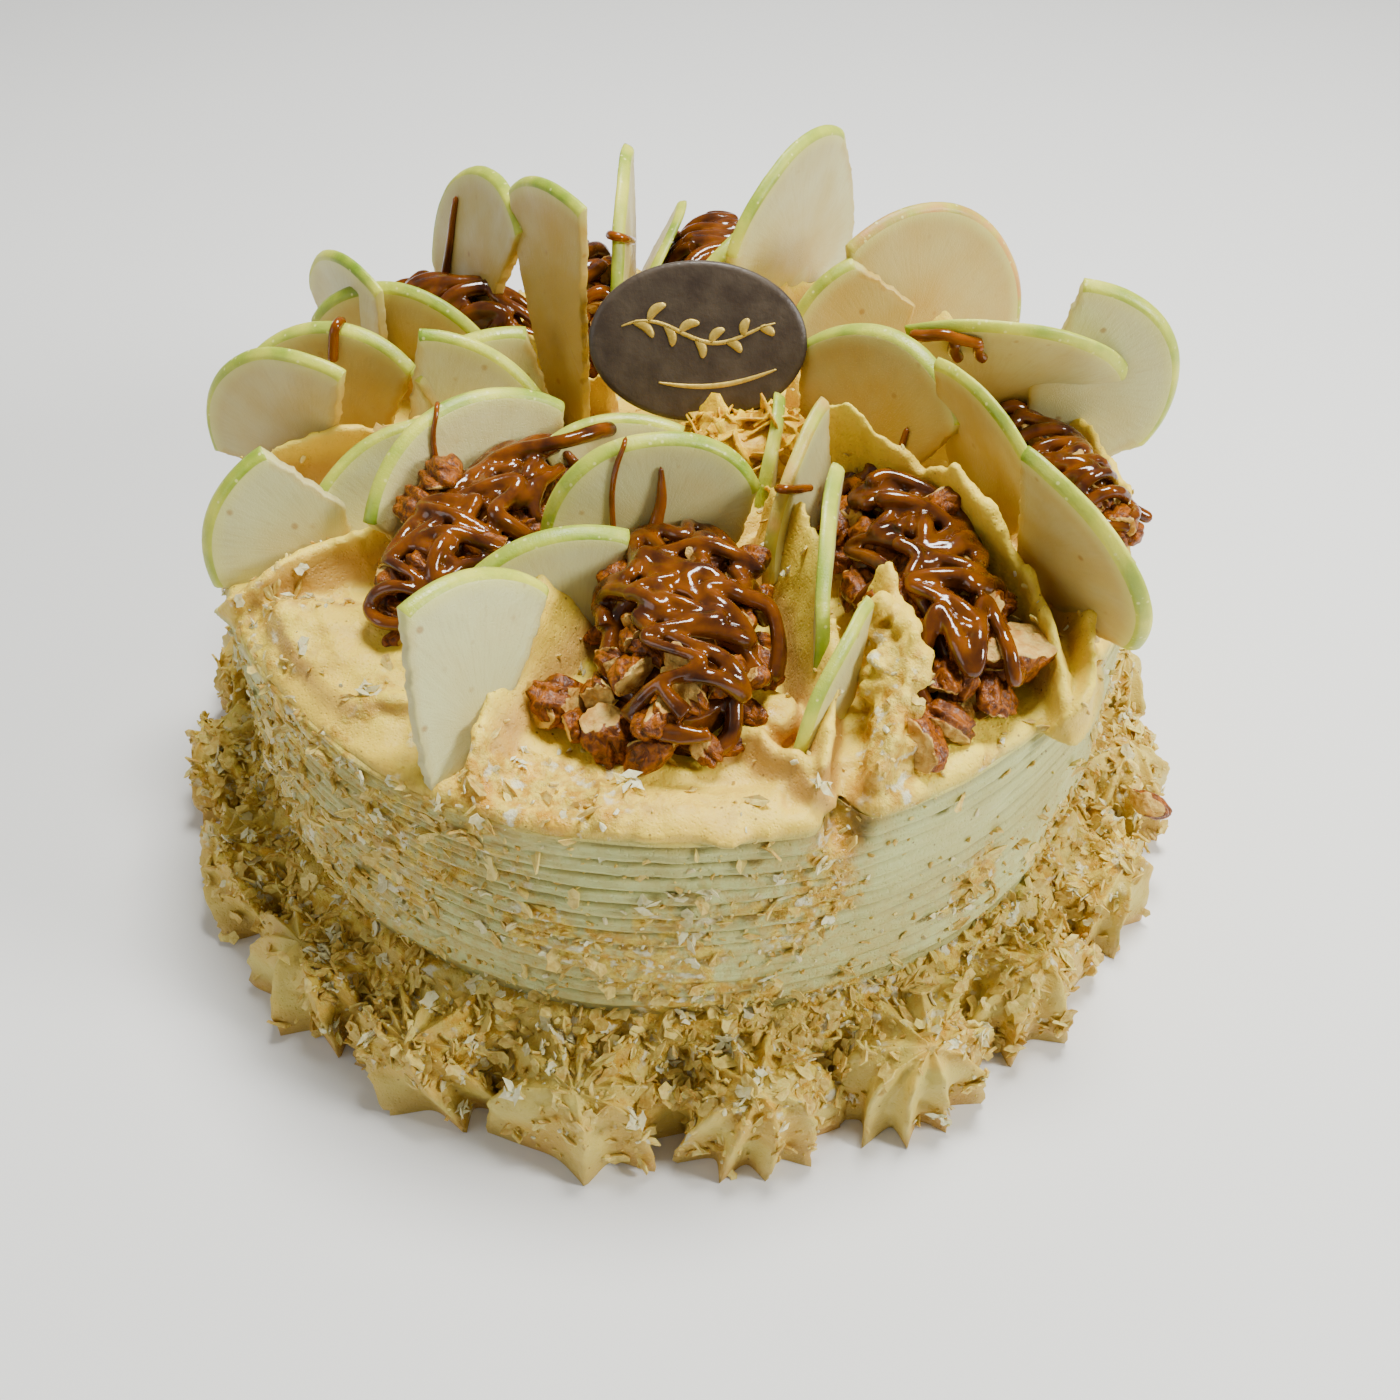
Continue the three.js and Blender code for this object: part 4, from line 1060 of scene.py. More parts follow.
def smoothPath(points, every=0.8):  # a smooth way through the points
    p = np.asarray(points, float)
    p = np.concatenate([2 * p[:1] - p[1:2], p, 2 * p[-1:] - p[-2:-1]])
    path = []
    for a, b, c, d in zip(p, p[1:], p[2:], p[3:]):
        steps = max(2, int(np.linalg.norm(c - b) / every))
        t = (np.arange(steps) / steps)[:, None]
        bend, twist = 2 * a - 5 * b + 4 * c - d, 3 * b - a - 3 * c + d
        path.append(0.5 * (2 * b + (c - a) * t + bend * t * t + twist * t ** 3))
    return np.concatenate(path + [p[-2:-1]])


def tube(path, radii, sides=10):
    ahead = unit(np.gradient(path, axis=0))
    angle = evenTurns(sides)
    side = np.cross(ahead[0], (0.31, 0.17, 0.93))
    rings = []
    for k in range(len(path)):
        side = side - ahead[k] * (side @ ahead[k])
        side /= np.linalg.norm(side) + 1e-9
        other = np.cross(ahead[k], side)
        rings.append(path[k] + radii[k] * (np.cos(angle)[:, None] * side + np.sin(angle)[:, None] * other))
    first, last, end = len(path) * sides, len(path) * sides + 1, (len(path) - 1) * sides
    faces = gridFaces(len(path), sides)
    faces += [[first, (k + 1) % sides, k] for k in range(sides)]
    faces += [[last, end + k, end + (k + 1) % sides] for k in range(sides)]
    return np.concatenate(rings + [path[:1], path[-1:]]), faces


def bead(points, fromRadius, toRadius, seed):  # a strand with round ends
    path = smoothPath(points)
    along = np.concatenate([[0], np.cumsum(np.linalg.norm(np.diff(path, axis=0), axis=1))])
    radii = fromRadius + (toRadius - fromRadius) * along / along[-1]
    radii = radii * (1 + 0.16 * softNoise(path, 6, seed))
    fromEnd = held(np.minimum(along, along[-1] - along) / radii)
    return tube(path, radii * np.sqrt(np.clip(1 - (1 - fromEnd) ** 2, 0.02, 1)))


ball = ballPoints(4)


def nutSolid(size, at, draw):  # a broken piece of pecan: wrinkled skin and pale broken faces
    p = ball[0] * (nutShape["length"], nutShape["width"], nutShape["height"])
    seed = int(draw.integers(1, 900))
    groove = bell(p[:, 1], 0, 0.14) * smoothStep(0.1, 0.4, p[:, 2])
    folds = np.sin(p[:, 1] * 15 + 3 * softNoise(p, 0.5, seed)) * (0.4 + 0.6 * smoothStep(-0.2, 0.3, p[:, 2]))
    uneven = nutShape["wrinkle"] * folds + 0.1 * softNoise(p, 0.4, seed + 1)
    p = p * (1 - nutShape["groove"] * groove + uneven)[:, None]
    flesh = np.zeros(len(p))
    for k in range(int(draw.integers(1, 4))):  # it is broken off flat on one to three sides
        way = draw.normal(size=3)
        way /= np.linalg.norm(way)
        over = p @ way - draw.uniform(0.25, 0.6)
        flesh = np.maximum(flesh, smoothStep(-0.03, 0.04, over))
        rough = 0.08 * softNoise(p, 0.22, seed + 5 + k)
        p = p - np.maximum(over, 0)[:, None] * way * 0.93 + (rough * (over > 0))[:, None] * way
    return (p * size) @ tumbled(draw, 0.9).T + at, flesh


def nutsMesh(nuts):
    mesh = meshOf("nuts", *joined([(points, ball[1]) for points, _ in nuts]))
    setValues(mesh, flesh=np.concatenate([flesh for _, flesh in nuts]))
    return mesh


def heapPoint(heap, along, across, lift):
    length, width, height = heap["size"]
    inward = max(0.0, 1 - (along * along + across * across) ** 2)
    x, y = turned(along * length / 2, across * width / 2, math.radians(heap["turn"]))
    return np.array([heap["at"][0] + x, heap["at"][1] + y, cake["height"] + height * math.sqrt(inward) + lift])


def moundSolid(heap):
    rows, around, drop = mound["rows"], mound["around"], mound["drop"]
    points = [heapPoint(heap, 0, 0, -drop)]
    for share in (mound["share"] * r / rows for r in range(1, rows + 1)):
        points += [heapPoint(heap, share * math.cos(a), share * math.sin(a), -drop) for a in evenTurns(around)]
    points = np.array(points)
    points[:, 2] += 0.8 * softNoise(points, 5, heap["seed"])
    low = points[-around:] * (1, 1, 0) + (0, 0, cake["height"] - 1)
    faces = [[0, 1 + k, 1 + (k + 1) % around] for k in range(around)]
    faces += [face[::-1] for face in gridFaces(rows + 1, around, 1)]
    faces.append([1 + rows * around + k for k in range(around)])
    return np.concatenate([points, low]), faces


def strandPath(heap, place, draw):  # caramel poured to and fro over one place of the heap
    half = np.array(heap["size"][:2]) / 2
    middle = (place, draw.uniform(-0.35, 0.35)) * half
    way = draw.uniform(0, math.pi)
    swing, pitch = draw.uniform(*strandShape["swing"]), draw.uniform(*strandShape["pitch"])
    turns = int(draw.integers(*strandShape["turns"]))
    phase = np.linspace(0, turns * math.pi, turns * 18)
    along = (phase / math.pi - turns / 2) * pitch
    aside = swing * np.sin(phase) * (1 + 0.3 * np.sin(phase * 0.41 + draw.uniform(0, 6)))
    spots = middle + np.stack(turned(along, aside, way), -1)
    levels = (np.column_stack([spots, np.full(len(spots), heap["seed"] + k)]) for k in (0, 1))
    spots = spots + 1.3 * np.stack([softNoise(level, 9, 60 + k) for k, level in enumerate(levels)], -1)
    share = spots / half
    share *= np.minimum(1, 0.95 / np.maximum(np.hypot(share[:, 0], share[:, 1]), 1e-6))[:, None]
    path = np.array([heapPoint(heap, u, v, strandShape["over"]) for u, v in share])
    path[:, 2] += 1.5 * softNoise(path * (1, 1, 0), 8, int(draw.integers(1, 99)))
    for _ in range(2):
        path[1:-1] = (path[:-2] + 2 * path[1:-1] + path[2:]) / 4
    return path


def heapNuts(heap, draw):  # nuts all over the heap, and more that show low down, round its foot
    count, tall, places = heap["nuts"], heap["size"][2], []
    for k in range(count):
        out = 0.9 * math.sqrt((k + 0.5) / count)
        around = k * 2.4 + draw.uniform(0, 0.8)
        at = heapPoint(heap, out * math.cos(around), out * math.sin(around), draw.uniform(-4.2, -1.4))
        at[2] = max(at[2], cake["height"] + 1.5)
        places.append((draw.uniform(3.6, 5.4), at))
    for k in range(count // 2):
        around = (k + draw.uniform(0, 0.6)) * rotateFull / (count // 2)
        at = heapPoint(heap, 0.86 * math.cos(around), 0.86 * math.sin(around), 0)
        at[2] = cake["height"] + 3 + draw.uniform(0, 0.25) * tall
        places.append((draw.uniform(3.4, 4.8), at))
    return nutsMesh([nutSolid(size, at, draw) for size, at in places])


def heapCaramel(heap, draw):
    solids = [moundSolid(heap)]
    for k, (near, thick, path) in enumerate(laidStrands):
        if near == heap["name"]:
            solids.append(bead(path, thick, thick, k))
    for k in range(heap["strands"]):
        path = strandPath(heap, 0.75 - 1.5 * (k + 0.5) / heap["strands"], draw)
        thick = strandShape["radius"] * (1 + 0.3 * softNoise(path, 9, k + 3)) * draw.uniform(0.8, 1.15)
        solids.append(tube(path, thick))
    return melted(solids, strandShape["voxel"], 0.45)


for heap in heaps:
    name, draw = heap["name"], np.random.default_rng(heap["seed"])
    pecans = heapNuts(heap, draw)
    addPiece(f"pecans_{name}", pecans, nut, "pecan", f"pecan_heap_{name}")
    poured = heapCaramel(heap, draw)
    addPiece(f"caramel_{name}", poured, caramel, "pecan", f"pecan_heap_{name}")
    print("heap", name, len(pecans.polygons), len(poured.polygons))

draw = np.random.default_rng(7)
bare = nutsMesh([nutSolid(size, np.array(at, float), draw) for at, size in bareNuts])
addPiece("loose_pecans", bare, nut, "pecan")

# Caramel on the slices
# Each drip has its slice, its thickness at both ends, and its way: along the face, up it, and out of it.
drips = [
    (10, 0.7, 1.3, [(-17.4, 19.2, 1.8), (-17.8, 13.9, 2), (-18.3, 8.4, 2.1), (-19.3, 2.4, 2.2),
        (-20, -5, 2.4)]),
    (2, 1.1, 1.3, [(0.5, 27.5, -2), (0.7, 29.6, -1.6), (0.8, 30, 0.6), (0.4, 28.6, 2), (-0.4, 24, 2.1),
        (-1, 20.4, 2.1)]),
    (5, 0.5, 0.7, [(-5.8, 32.6, -1.4), (-7, 32.8, 0.8), (-8.4, 31, 1.9), (-9.8, 28, 2), (-10.5, 24, 2),
        (-10.6, 18, 2.2)]),
    (12, 1.1, 1.0, [(-17, 16, -2.2), (-22, 19, -2.2), (-25, 20.3, -0.6), (-25, 20, 1), (-22, 18, 2.2),
        (-15, 14, 2.4)]),
    (27, 0.9, 0.9, [(-13, 17, 2.4), (-18, 20, 2.3), (-22.6, 22.4, 1.6), (-23.6, 22.8, 0), (-22, 21.4, -1.9)]),
    (19, 1.5, 1.4, [(-19.5, 29, 1.5), (-16.5, 31, 2.3), (-12, 32.5, 2.2), (-8.6, 32, 2.5), (-3, 31, 2.6)]),
    (19, 1.3, 1.2, [(-18.4, 29.6, 2.3), (-19.2, 27, 2.4)]),
    (19, 1.4, 1.4, [(-9.4, 31.6, 2.5), (-9.2, 27, 2.5), (-7.4, 22.8, 2.4)]),
    (19, 1.3, 1.2, [(-4, 30.6, 2.6), (-3.6, 26.6, 2.5), (-1.7, 23.4, 2.4)]),
    (23, 0.5, 0.7, [(-5.6, 24.6, -0.6), (-6.6, 23.4, 1.6), (-8.2, 19.3, 1.9), (-9.2, 14.6, 1.9),
        (-9.5, 10, 1.9), (-9.4, 4, 2.3), (-8.6, -4, 3)]),
    (23, 0.5, 2.4, [(1, 18.2, 2), (1.1, 14.6, 2.1), (0.8, 9.8, 2.6), (-0.6, 5, 3.4), (-2, -1, 5)]),
    (20, 0.6, 0.8, [(10, 10.4, 2), (10, 7.2, 2.1), (9.7, 3.2, 2.1)]),
    (4, 1.0, 0.9, [(-6, 22, 2), (-2, 21.4, 2.1), (1.6, 21.8, 2)]),
]


def sliceDrips():
    parts = []
    for number, fromRadius, toRadius, way in drips:
        wedge = slices[number - 1]
        local = np.array(way, float)
        local[:, 2] += sliceBend(local, number - 1)
        parts.append(bead(np.array(wedge["at"]) + local @ sliceAxes(wedge), fromRadius, toRadius, number))
    mesh = meshOf("sliceDrips", *joined(parts))
    outwardFaces(mesh)
    return mesh


addPiece("caramel_drips", sliceDrips(), thinCaramel, "pecan")
print("drips made")

# Plaque
plaque = {
    "halfWidth": 25, "halfHeight": 18, "thickness": 3.4, "bevel": 0.7, "leanBack": 24, "foot": (4, 7, 103),
    "columns": 96, "strokeHeight": 0.28, "strokeSunk": 0.05,
}
sprig = {
    "leaves": 9, "steps": 80, "leafLength": 5.6, "leafWidth": 2.3, "spread": 0.85, "stem": 1.1, "under": 1.3,
}


def onPlaque(across, up, out):  # a place on the leaning plaque's front
    lean = math.radians(plaque["leanBack"])
    x, y, z = plaque["foot"]
    back, high = up * math.sin(lean) - out * math.cos(lean), up * math.cos(lean)
    return np.stack([x + across, y + back, z + high + out * math.sin(lean)], -1)


def plaqueMesh():
    half, bevel = plaque["thickness"] / 2, plaque["bevel"]
    front = [(0, half), (0.5, half), (0.93, half), (0.985, half - 0.12), (1, half - bevel)]
    angle = evenTurns(plaque["columns"])
    rows = []
    for share, out in front + [(share, -out) for share, out in front[::-1]]:
        across = share * plaque["halfWidth"] * np.cos(angle)
        up = plaque["halfHeight"] + share * plaque["halfHeight"] * np.sin(angle)
        rows.append(onPlaque(across, up, np.full_like(angle, out)))
    mesh = meshOf("plaque", np.concatenate(rows), gridFaces(len(rows), len(angle)))
    outwardFaces(mesh, True)
    return mesh


def stroke(points, widest):
    along = np.linspace(0, 1, len(points))
    ahead = unit(np.gradient(points, axis=0))
    side = np.stack([-ahead[:, 1], ahead[:, 0]], -1)
    half = widest * (0.25 + 0.75 * np.sin(math.pi * along) ** 0.6) / 2
    front = plaque["thickness"] / 2
    low, high = front - plaque["strokeSunk"], front + plaque["strokeHeight"]
    rows = []
    for share, out in ((-1, low), (-0.7, high), (0.7, high), (1, low)):
        flat = points + side * (share * half)[:, None]
        rows.append(onPlaque(flat[:, 0], flat[:, 1] + plaque["halfHeight"], np.full(len(points), out)))
    ring = np.stack(rows, 1).reshape(-1, 3)
    end = len(ring) - 4
    return ring, gridFaces(len(points), 4) + [[3, 2, 1, 0], [end, end + 1, end + 2, end + 3]]


def leaf(x, y, way, length):  # a small pointed leaf, drawn as one bowed stroke
    t = np.linspace(0, 1, 14)
    across, up = turned(length * t, 0.16 * length * np.sin(math.pi * t), way)
    return np.stack([x + across, y + up], -1)


def flourish():  # a plain sprig of leaves, with a long stroke under it
    t = np.linspace(0, 1, sprig["steps"])
    stem = np.stack([-17.5 + 35 * t, 2.4 + 2.4 * np.sin(t * rotateFull * 1.1 + 0.5)], -1)
    under = np.stack([-9 + 27 * t, -9 - 1.4 * np.sin(t * math.pi) + 3.2 * t ** 2], -1)
    made = [stroke(stem, sprig["stem"]), stroke(under, sprig["under"])]
    for k, share in enumerate(np.linspace(0.08, 0.9, sprig["leaves"])):
        at = int(share * (sprig["steps"] - 1))
        (x, y), (nextX, nextY) = stem[at], stem[at + 1]
        way = math.atan2(nextY - y, nextX - x) + (1 if k % 2 else -1) * sprig["spread"]
        made.append(stroke(leaf(x, y, way, sprig["leafLength"] - 0.25 * k), sprig["leafWidth"]))
    mesh = meshOf("flourish", *joined(made))
    outwardFaces(mesh)
    return mesh


addPiece("chocolate_plaque", plaqueMesh(), chocolate, "chocolate", "oval_plaque")
addPiece("gold_flourish", flourish(), gold, "chocolate")
print("plaque made")

# Crumbs
scatterInputs = {
    "Kind": "NodeSocketObject", "Per Square Metre": "NodeSocketFloat", "Smallest": "NodeSocketFloat",
    "Largest": "NodeSocketFloat", "Tilt": "NodeSocketFloat", "Seed": "NodeSocketInt",
    "Finish": "NodeSocketMaterial",
}


def scatterTree():  # crumbs of one kind, laid on a surface where its "crumbs" value is high
    tree = bpy.data.node_groups.new("scatterCrumbs", "GeometryNodeTree")
    for label, kind in {"Geometry": "NodeSocketGeometry", **scatterInputs}.items():
        tree.interface.new_socket(label, in_out="INPUT", socket_type=kind)
    tree.interface.new_socket("Geometry", in_out="OUTPUT", socket_type="NodeSocketGeometry")
    given, out = tree.nodes.new("NodeGroupInput").outputs, tree.nodes.new("NodeGroupOutput").inputs
    seed, tilt = given["Seed"], given["Tilt"]
    cover = node(tree, "GeometryNodeInputNamedAttribute", {"Name": "crumbs"}, data_type="FLOAT")
    density = times(tree, cover.outputs["Attribute"], given["Per Square Metre"])
    inputs = {"Mesh": given["Geometry"], "Density": density, "Seed": seed}
    spread = node(tree, "GeometryNodeDistributePointsOnFaces", inputs).outputs
    kind = node(tree, "GeometryNodeObjectInfo", {"Object": given["Kind"]}).outputs["Geometry"]
    low = times(tree, tilt, -1.0)
    lowest = node(tree, "ShaderNodeCombineXYZ", {0: low, 1: low, 2: -math.pi}).outputs[0]
    highest = node(tree, "ShaderNodeCombineXYZ", {0: tilt, 1: tilt, 2: math.pi}).outputs[0]
    inputs = {0: lowest, 1: highest, "Seed": seed}
    tumble = node(tree, "FunctionNodeRandomValue", inputs, data_type="FLOAT_VECTOR").outputs[0]
    inputs = {0: spread["Rotation"], 1: node(tree, "FunctionNodeEulerToRotation", {0: tumble}).outputs[0]}
    rotation = node(tree, "FunctionNodeRotateRotation", inputs, rotation_space="LOCAL").outputs[0]
    inputs = {2: given["Smallest"], 3: given["Largest"], "Seed": seed}
    size = node(tree, "FunctionNodeRandomValue", inputs, data_type="FLOAT").outputs[1]
    inputs = {"Points": spread["Points"], "Instance": kind, "Rotation": rotation, "Scale": size}
    placed = node(tree, "GeometryNodeInstanceOnPoints", inputs).outputs["Instances"]
    shade = node(tree, "FunctionNodeRandomValue", {2: 0.0, 3: 0.8}, data_type="FLOAT").outputs[1]
    inputs = {"Geometry": placed, "Name": "shade", "Value": shade}
    marked = node(tree, "GeometryNodeStoreNamedAttribute", inputs, data_type="FLOAT", domain="INSTANCE")
    real = node(tree, "GeometryNodeRealizeInstances", {"Geometry": marked.outputs[0]}).outputs[0]
    inputs = {"Geometry": real, "Material": given["Finish"]}
    tree.links.new(node(tree, "GeometryNodeSetMaterial", inputs).outputs[0], out[0])
    return tree


scatter = scatterTree()
socketOf = {item.name: item.identifier for item in scatter.interface.items_tree if item.in_out == "INPUT"}


def scattered(surface, *values):  # the values are those of scatterInputs, in that order
    def addScatter(holder):
        modifier = holder.modifiers.new("crumbs", "NODES")
        modifier.node_group = scatter
        for label, value in zip(scatterInputs, values):
            modifier[socketOf[label]] = value
    return evaluated(surface, addScatter)


def kindObject(name, points, faces):
    mesh = meshOf(name, points, faces)
    outwardFaces(mesh)
    shadeSmooth(mesh, False)
    return inScene(name, mesh)


def crumbChunk():  # an uneven crumb, 1 mm across
    points, faces = ballPoints(1)
    points = points * (0.55, 0.4, 0.26) * (1 + 0.55 * softNoise(points, 0.5, 81))[:, None]
    return kindObject("crumbChunk", points + (0, 0, 0.16), faces)


def crumbFlake():  # a thin curved flake, 1 mm long
    outline = [
        (-0.5, -0.1), (-0.3, -0.32), (0.08, -0.26), (0.42, -0.3),
        (0.5, 0.06), (0.2, 0.3), (-0.12, 0.2), (-0.4, 0.28),
    ]
    top, low = [], []
    for x, y in outline:
        rise = 0.22 * x * x + 0.3 * y * y + 0.05 * math.sin(9 * x + 5 * y)
        top.append((x, y, rise + 0.12))
        low.append((x * 0.92, y * 0.92, rise + 0.02))
    n = len(outline)
    points = np.array(top + low + [(0.02, 0, 0.14), (0.02, 0, 0.03)])
    sides = [(k, (k + 1) % n) for k in range(n)]
    faces = [[a, b, 2 * n] for a, b in sides] + [[n + b, n + a, 2 * n + 1] for a, b in sides]
    faces += [[n + a, n + b, b, a] for a, b in sides]
    return kindObject("crumbFlake", points, faces)


def crumbShard():  # a broken splinter, 1 mm long
    top = [(-0.5, -0.06, 0.1), (-0.1, -0.2, 0.16), (0.5, -0.04, 0.1), (0.2, 0.14, 0.2), (-0.3, 0.16, 0.12)]
    points = np.array(top + [(x * 0.9, y * 0.8, z - 0.1) for x, y, z in top])
    faces = [[4, 3, 2, 1, 0], [5, 6, 7, 8, 9]] + [[k, (k + 1) % 5, 5 + (k + 1) % 5, 5 + k] for k in range(5)]
    return kindObject("crumbShard", points, faces)


def fluffyBit():  # a clump of splinters, 1 mm across
    single = np.array([
        (-0.5, -0.06, 0.05), (0.1, -0.2, 0.09), (0.5, 0.02, 0.04), (-0.1, 0.17, 0.1), (0, 0, -0.1)])
    faces = [[0, 1, 3], [1, 2, 3], [1, 0, 4], [2, 1, 4], [3, 2, 4], [0, 3, 4]]
    parts = []
    for k in range(7):
        turn = np.array(Matrix.Rotation(k * 0.9, 3, "Z") @ Matrix.Rotation(0.7 * math.sin(k * 2.3), 3, "X"))
        spot = 0.22 * np.array([math.cos(k * 2.4), math.sin(k * 2.4), 0.7 + 0.5 * math.sin(k * 1.7)])
        parts.append((single * (0.6 + 0.2 * math.sin(k)) @ turn.T + spot, faces))
    return kindObject("fluffyBit", *joined(parts))


chunk, thinFlake, splinter, fluff = crumbChunk(), crumbFlake(), crumbShard(), fluffyBit()
# Kind, finish, tilt, smallest and largest size, then how many lie on a square metre of each surface.
crumbKinds = [
    ("crumb_grains", chunk, goldenCrumb, 1.2, 0.6, 2.0, (90000, 50000, 110000)),
    ("wafer_lumps", chunk, goldenCrumb, 1.2, 1.8, 4.4, (1200, 900, 15000)),
    ("wafer_shards", thinFlake, goldenCrumb, 0.9, 2.0, 6.0, (8500, 5200, 36000)),
    ("wafer_splinters", splinter, goldenCrumb, 1.0, 1.8, 6.5, (19000, 12000, 64000)),
    ("white_flakes", thinFlake, whiteCrumb, 0.7, 2.0, 5.0, (4200, 2400, 9000)),
    ("white_fluff", fluff, whiteCrumb, 0.6, 2.0, 6.5, (3000, 3000, 5200)),
    ("white_grains", chunk, whiteCrumb, 1.2, 0.6, 2.0, (22000, 18000, 30000)),
]
for row, (name, kind, finish, tilt, smallest, largest, counts) in enumerate(crumbKinds):
    work = bmesh.new()
    for column, surface in enumerate((sideSkin, topSkin, borderSkin)):
        seed = 10 * row + column
        work.from_mesh(scattered(surface, kind, float(counts[column]), smallest, largest, tilt, seed, finish))
    whole = bpy.data.meshes.new(name)
    work.to_mesh(whole)
    work.free()
    lifted = pointsOf(whole)
    lifted[:, 2] = np.maximum(lifted[:, 2], 0.1)  # none reaches below the floor
    movePoints(whole, lifted)
    addPiece(name, whole, finish, "wafer")
    print(name, len(whole.polygons))

# Wafer flakes by the plaque
waferHeap = {
    "at": (14, 0), "half": (17, 9), "turn": 0.2, "base": 97, "height": 12, "fullness": 0.86, "sheets": 40,
    "sheetSize": (4.0, 7.5), "sheetPoints": 20, "perSquareMetre": 90000.0, "flakes": (2.0, 6.0),
}
# Sheets that slid down in front of the heap: where, and how big.
slidSheets = [((18, -8, 100), 3.6), ((20, -14, 98), 3.2), ((22, -22, 94), 2.8), ((24, -30, 91), 2.4)]
sheetRings = [(0.02, 1), (0.35, 1), (0.7, 1), (1, 0.8), (1, -0.8), (0.7, -1), (0.35, -1), (0.02, -1)]


def waferPlace(angle, share, least):
    half = waferHeap["half"]
    x, y = turned(share * math.cos(angle) * half[0], share * math.sin(angle) * half[1], waferHeap["turn"])
    rise = waferHeap["height"] * math.sqrt(max(least, 1 - share ** 4)) * waferHeap["fullness"]
    return np.array([waferHeap["at"][0] + x, waferHeap["at"][1] + y, waferHeap["base"] + rise])


def waferCore():
    rows, around = 12, 40
    points = np.array([waferPlace(angle, r / rows, 0) for r in range(rows + 1) for angle in evenTurns(around)])
    points[:, 2] += 1.2 * softNoise(points, 4, 91)
    faces = gridFaces(rows + 1, around)
    faces.append([rows * around + k for k in range(around - 1, -1, -1)])
    mesh = meshOf("waferCore", points, faces)
    outwardFaces(mesh, True)
    setValues(mesh, crumbs=1.0, shade=0.4)
    return mesh


def waferSheet(at, size, draw):  # a crumpled torn sheet
    count = waferHeap["sheetPoints"]
    angle = evenTurns(count)
    torn = 0.75 + 0.22 * np.sin(angle * 2 + draw.uniform(0, 6)) + 0.14 * np.sin(angle * 5 + draw.uniform(0, 6))
    torn = torn + draw.uniform(-0.07, 0.07, count)
    rows = []
    for share, level in sheetRings:
        x, y = share * torn * np.cos(angle) * size, share * torn * np.sin(angle) * size * 0.75
        rows.append(np.stack([x, y, np.full(count, level * 0.3)], -1))
    points = np.concatenate(rows)
    flat = points * (1, 1, 0) + at
    bend = 0.05 * points[:, 0] ** 2 * draw.uniform(-1, 1)
    points[:, 2] += bend + 0.16 * size * softNoise(flat, size * 0.7, 92) + 0.3 * softNoise(flat, 1.6, 93)
    faces = gridFaces(len(rows), count)
    faces += [list(range(count)), [(len(rows) - 1) * count + k for k in range(count - 1, -1, -1)]]
    return points @ tumbled(draw, 1.1).T + at, faces


def waferPile():
    draw = np.random.default_rng(35)
    made = []
    for _ in range(waferHeap["sheets"]):
        at = waferPlace(draw.uniform(0, rotateFull), math.sqrt(draw.uniform(0, 1.1)), 0.03)
        made.append(waferSheet(at, draw.uniform(*waferHeap["sheetSize"]), draw))
    for at, size in slidSheets:
        made.append(waferSheet(np.array(at, float), size, draw))
    mesh = meshOf("waferPile", *joined(made))
    outwardFaces(mesh)
    setValues(mesh, shade=np.repeat(draw.uniform(0, 0.8, len(made)), len(made[0][0])))
    return mesh


coreMesh = waferCore()
addPiece("wafer_core", coreMesh, waferCrumb, "wafer", "wafer_heap")
smallest, largest = waferHeap["flakes"]
pileMesh = scattered(coreMesh, thinFlake, waferHeap["perSquareMetre"], smallest, largest, 1.3, 77, waferCrumb)
addPiece("wafer_flakes", pileMesh, waferCrumb, "wafer", "wafer_heap")
addPiece("wafer_sheets", waferPile(), waferCrumb, "wafer", "wafer_heap")
print("wafer made", len(pileMesh.polygons))
for made in (chunk, thinFlake, splinter, fluff):
    bpy.data.objects.remove(made)

# Floor, light and camera
studio = {
    "floor": colour(236, 236, 234), "floorShade": colour(230, 230, 228), "floorHalf": 6, "glow": 0.28,
    "eye": (0, -0.289, 0.301), "yaw": 1.15, "pitch": 44.32, "roll": 1.15,
    "focal": 1500, "frame": 1400, "sensor": 36,
}
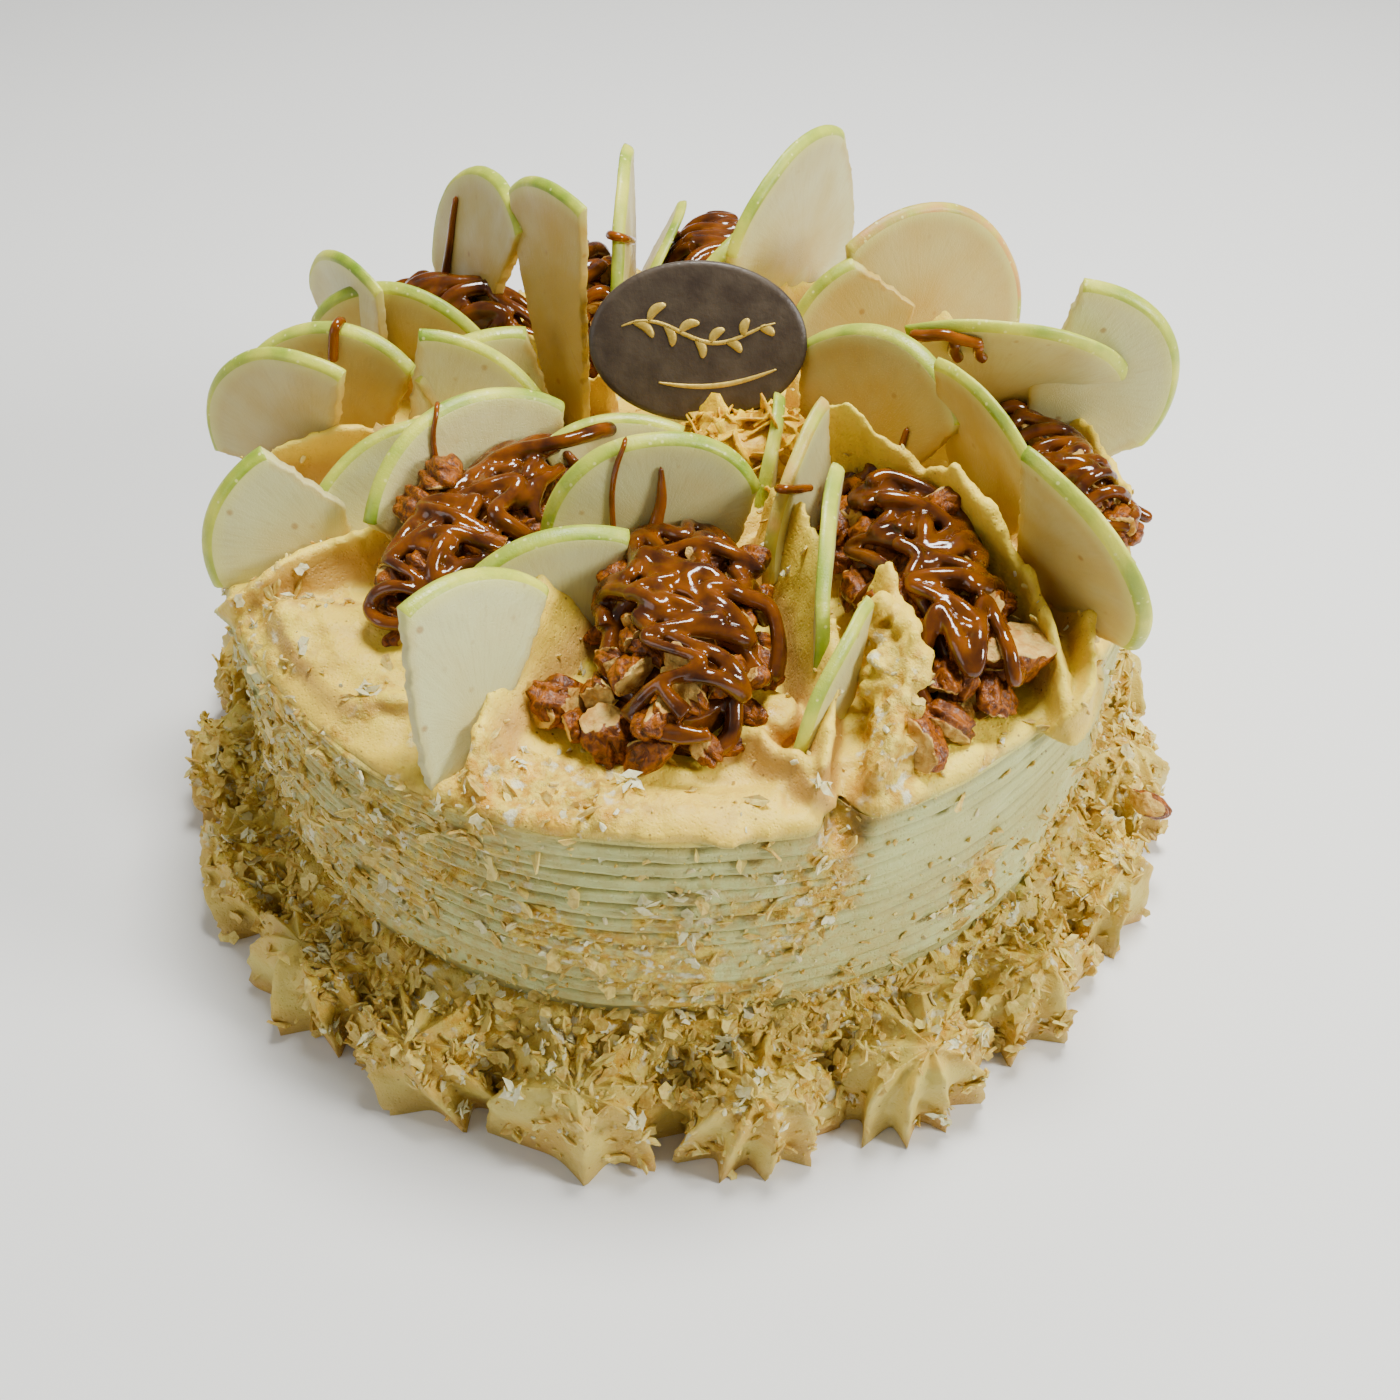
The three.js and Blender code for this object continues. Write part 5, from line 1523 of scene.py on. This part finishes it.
# Each lamp has its place, target, size, power and tint.
lamps = {
    "overhead": ((0.12, 0.2, 0.9), (0, 0, 0.05), 0.3, 14.5, (1, 1, 0.97)),
    "fromRight": ((0.95, -0.35, 0.65), (0, 0, 0.06), 0.3, 13, (1, 1, 0.97)),
    "fromLeft": ((-0.9, -0.5, 0.5), (0, 0, 0.06), 0.6, 2, (0.96, 0.98, 1)),
}


def addFloor():
    mesh, half = bpy.data.meshes.new("floor"), studio["floorHalf"]
    corners = [(-half, -half, 0), (half, -half, 0), (half, half, 0), (-half, half, 0)]
    mesh.from_pydata(corners, [], [[0, 1, 2, 3]])
    floor = inScene("floor", mesh)
    material, tree, place = startMaterial("paleFloor")
    shade = mixed(tree, mottled(tree, place, 300, 0.4), studio["floor"], studio["floorShade"])
    feed(tree, tree.nodes["Principled BSDF"].inputs, {"Base Color": shade, "Roughness": 0.9})
    mesh.materials.append(material)


def addLight(name, place, target, size, power, tint):
    data = bpy.data.lights.new(name, "AREA")
    data.shape = "DISK"
    data.size = size
    data.energy = power
    data.color = tint
    lamp = inScene(name, data)
    lamp.location = place
    lamp.rotation_mode = "QUATERNION"
    lamp.rotation_quaternion = (Vector(target) - Vector(place)).to_track_quat("-Z", "Y")


def addCamera():
    yaw, pitch, roll = (math.radians(studio[key]) for key in ("yaw", "pitch", "roll"))
    ahead = Vector((math.sin(yaw) * math.cos(pitch), math.cos(yaw) * math.cos(pitch), -math.sin(pitch)))
    right = ahead.cross(Vector((0, 0, 1))).normalized()
    up = right.cross(ahead)
    right, up = right * math.cos(roll) + up * math.sin(roll), up * math.cos(roll) - right * math.sin(roll)
    data = bpy.data.cameras.new("camera")
    data.sensor_width = studio["sensor"]
    data.lens = studio["sensor"] * studio["focal"] / studio["frame"]
    data.clip_start = 0.01
    camera = inScene("camera", data)
    facing = Matrix((right, up, -ahead)).transposed().to_4x4()
    camera.matrix_world = Matrix.Translation(studio["eye"]) @ facing
    bpy.context.scene.camera = camera


def addWorld():
    world = bpy.data.worlds.new("studio")
    bpy.context.scene.world = world
    world.use_nodes = True
    background = world.node_tree.nodes["Background"].inputs
    feed(world.node_tree, background, {"Color": (1, 1, 1, 1), "Strength": studio["glow"]})


addFloor()
for name, settings in lamps.items():
    addLight(name, *settings)
addWorld()
addCamera()
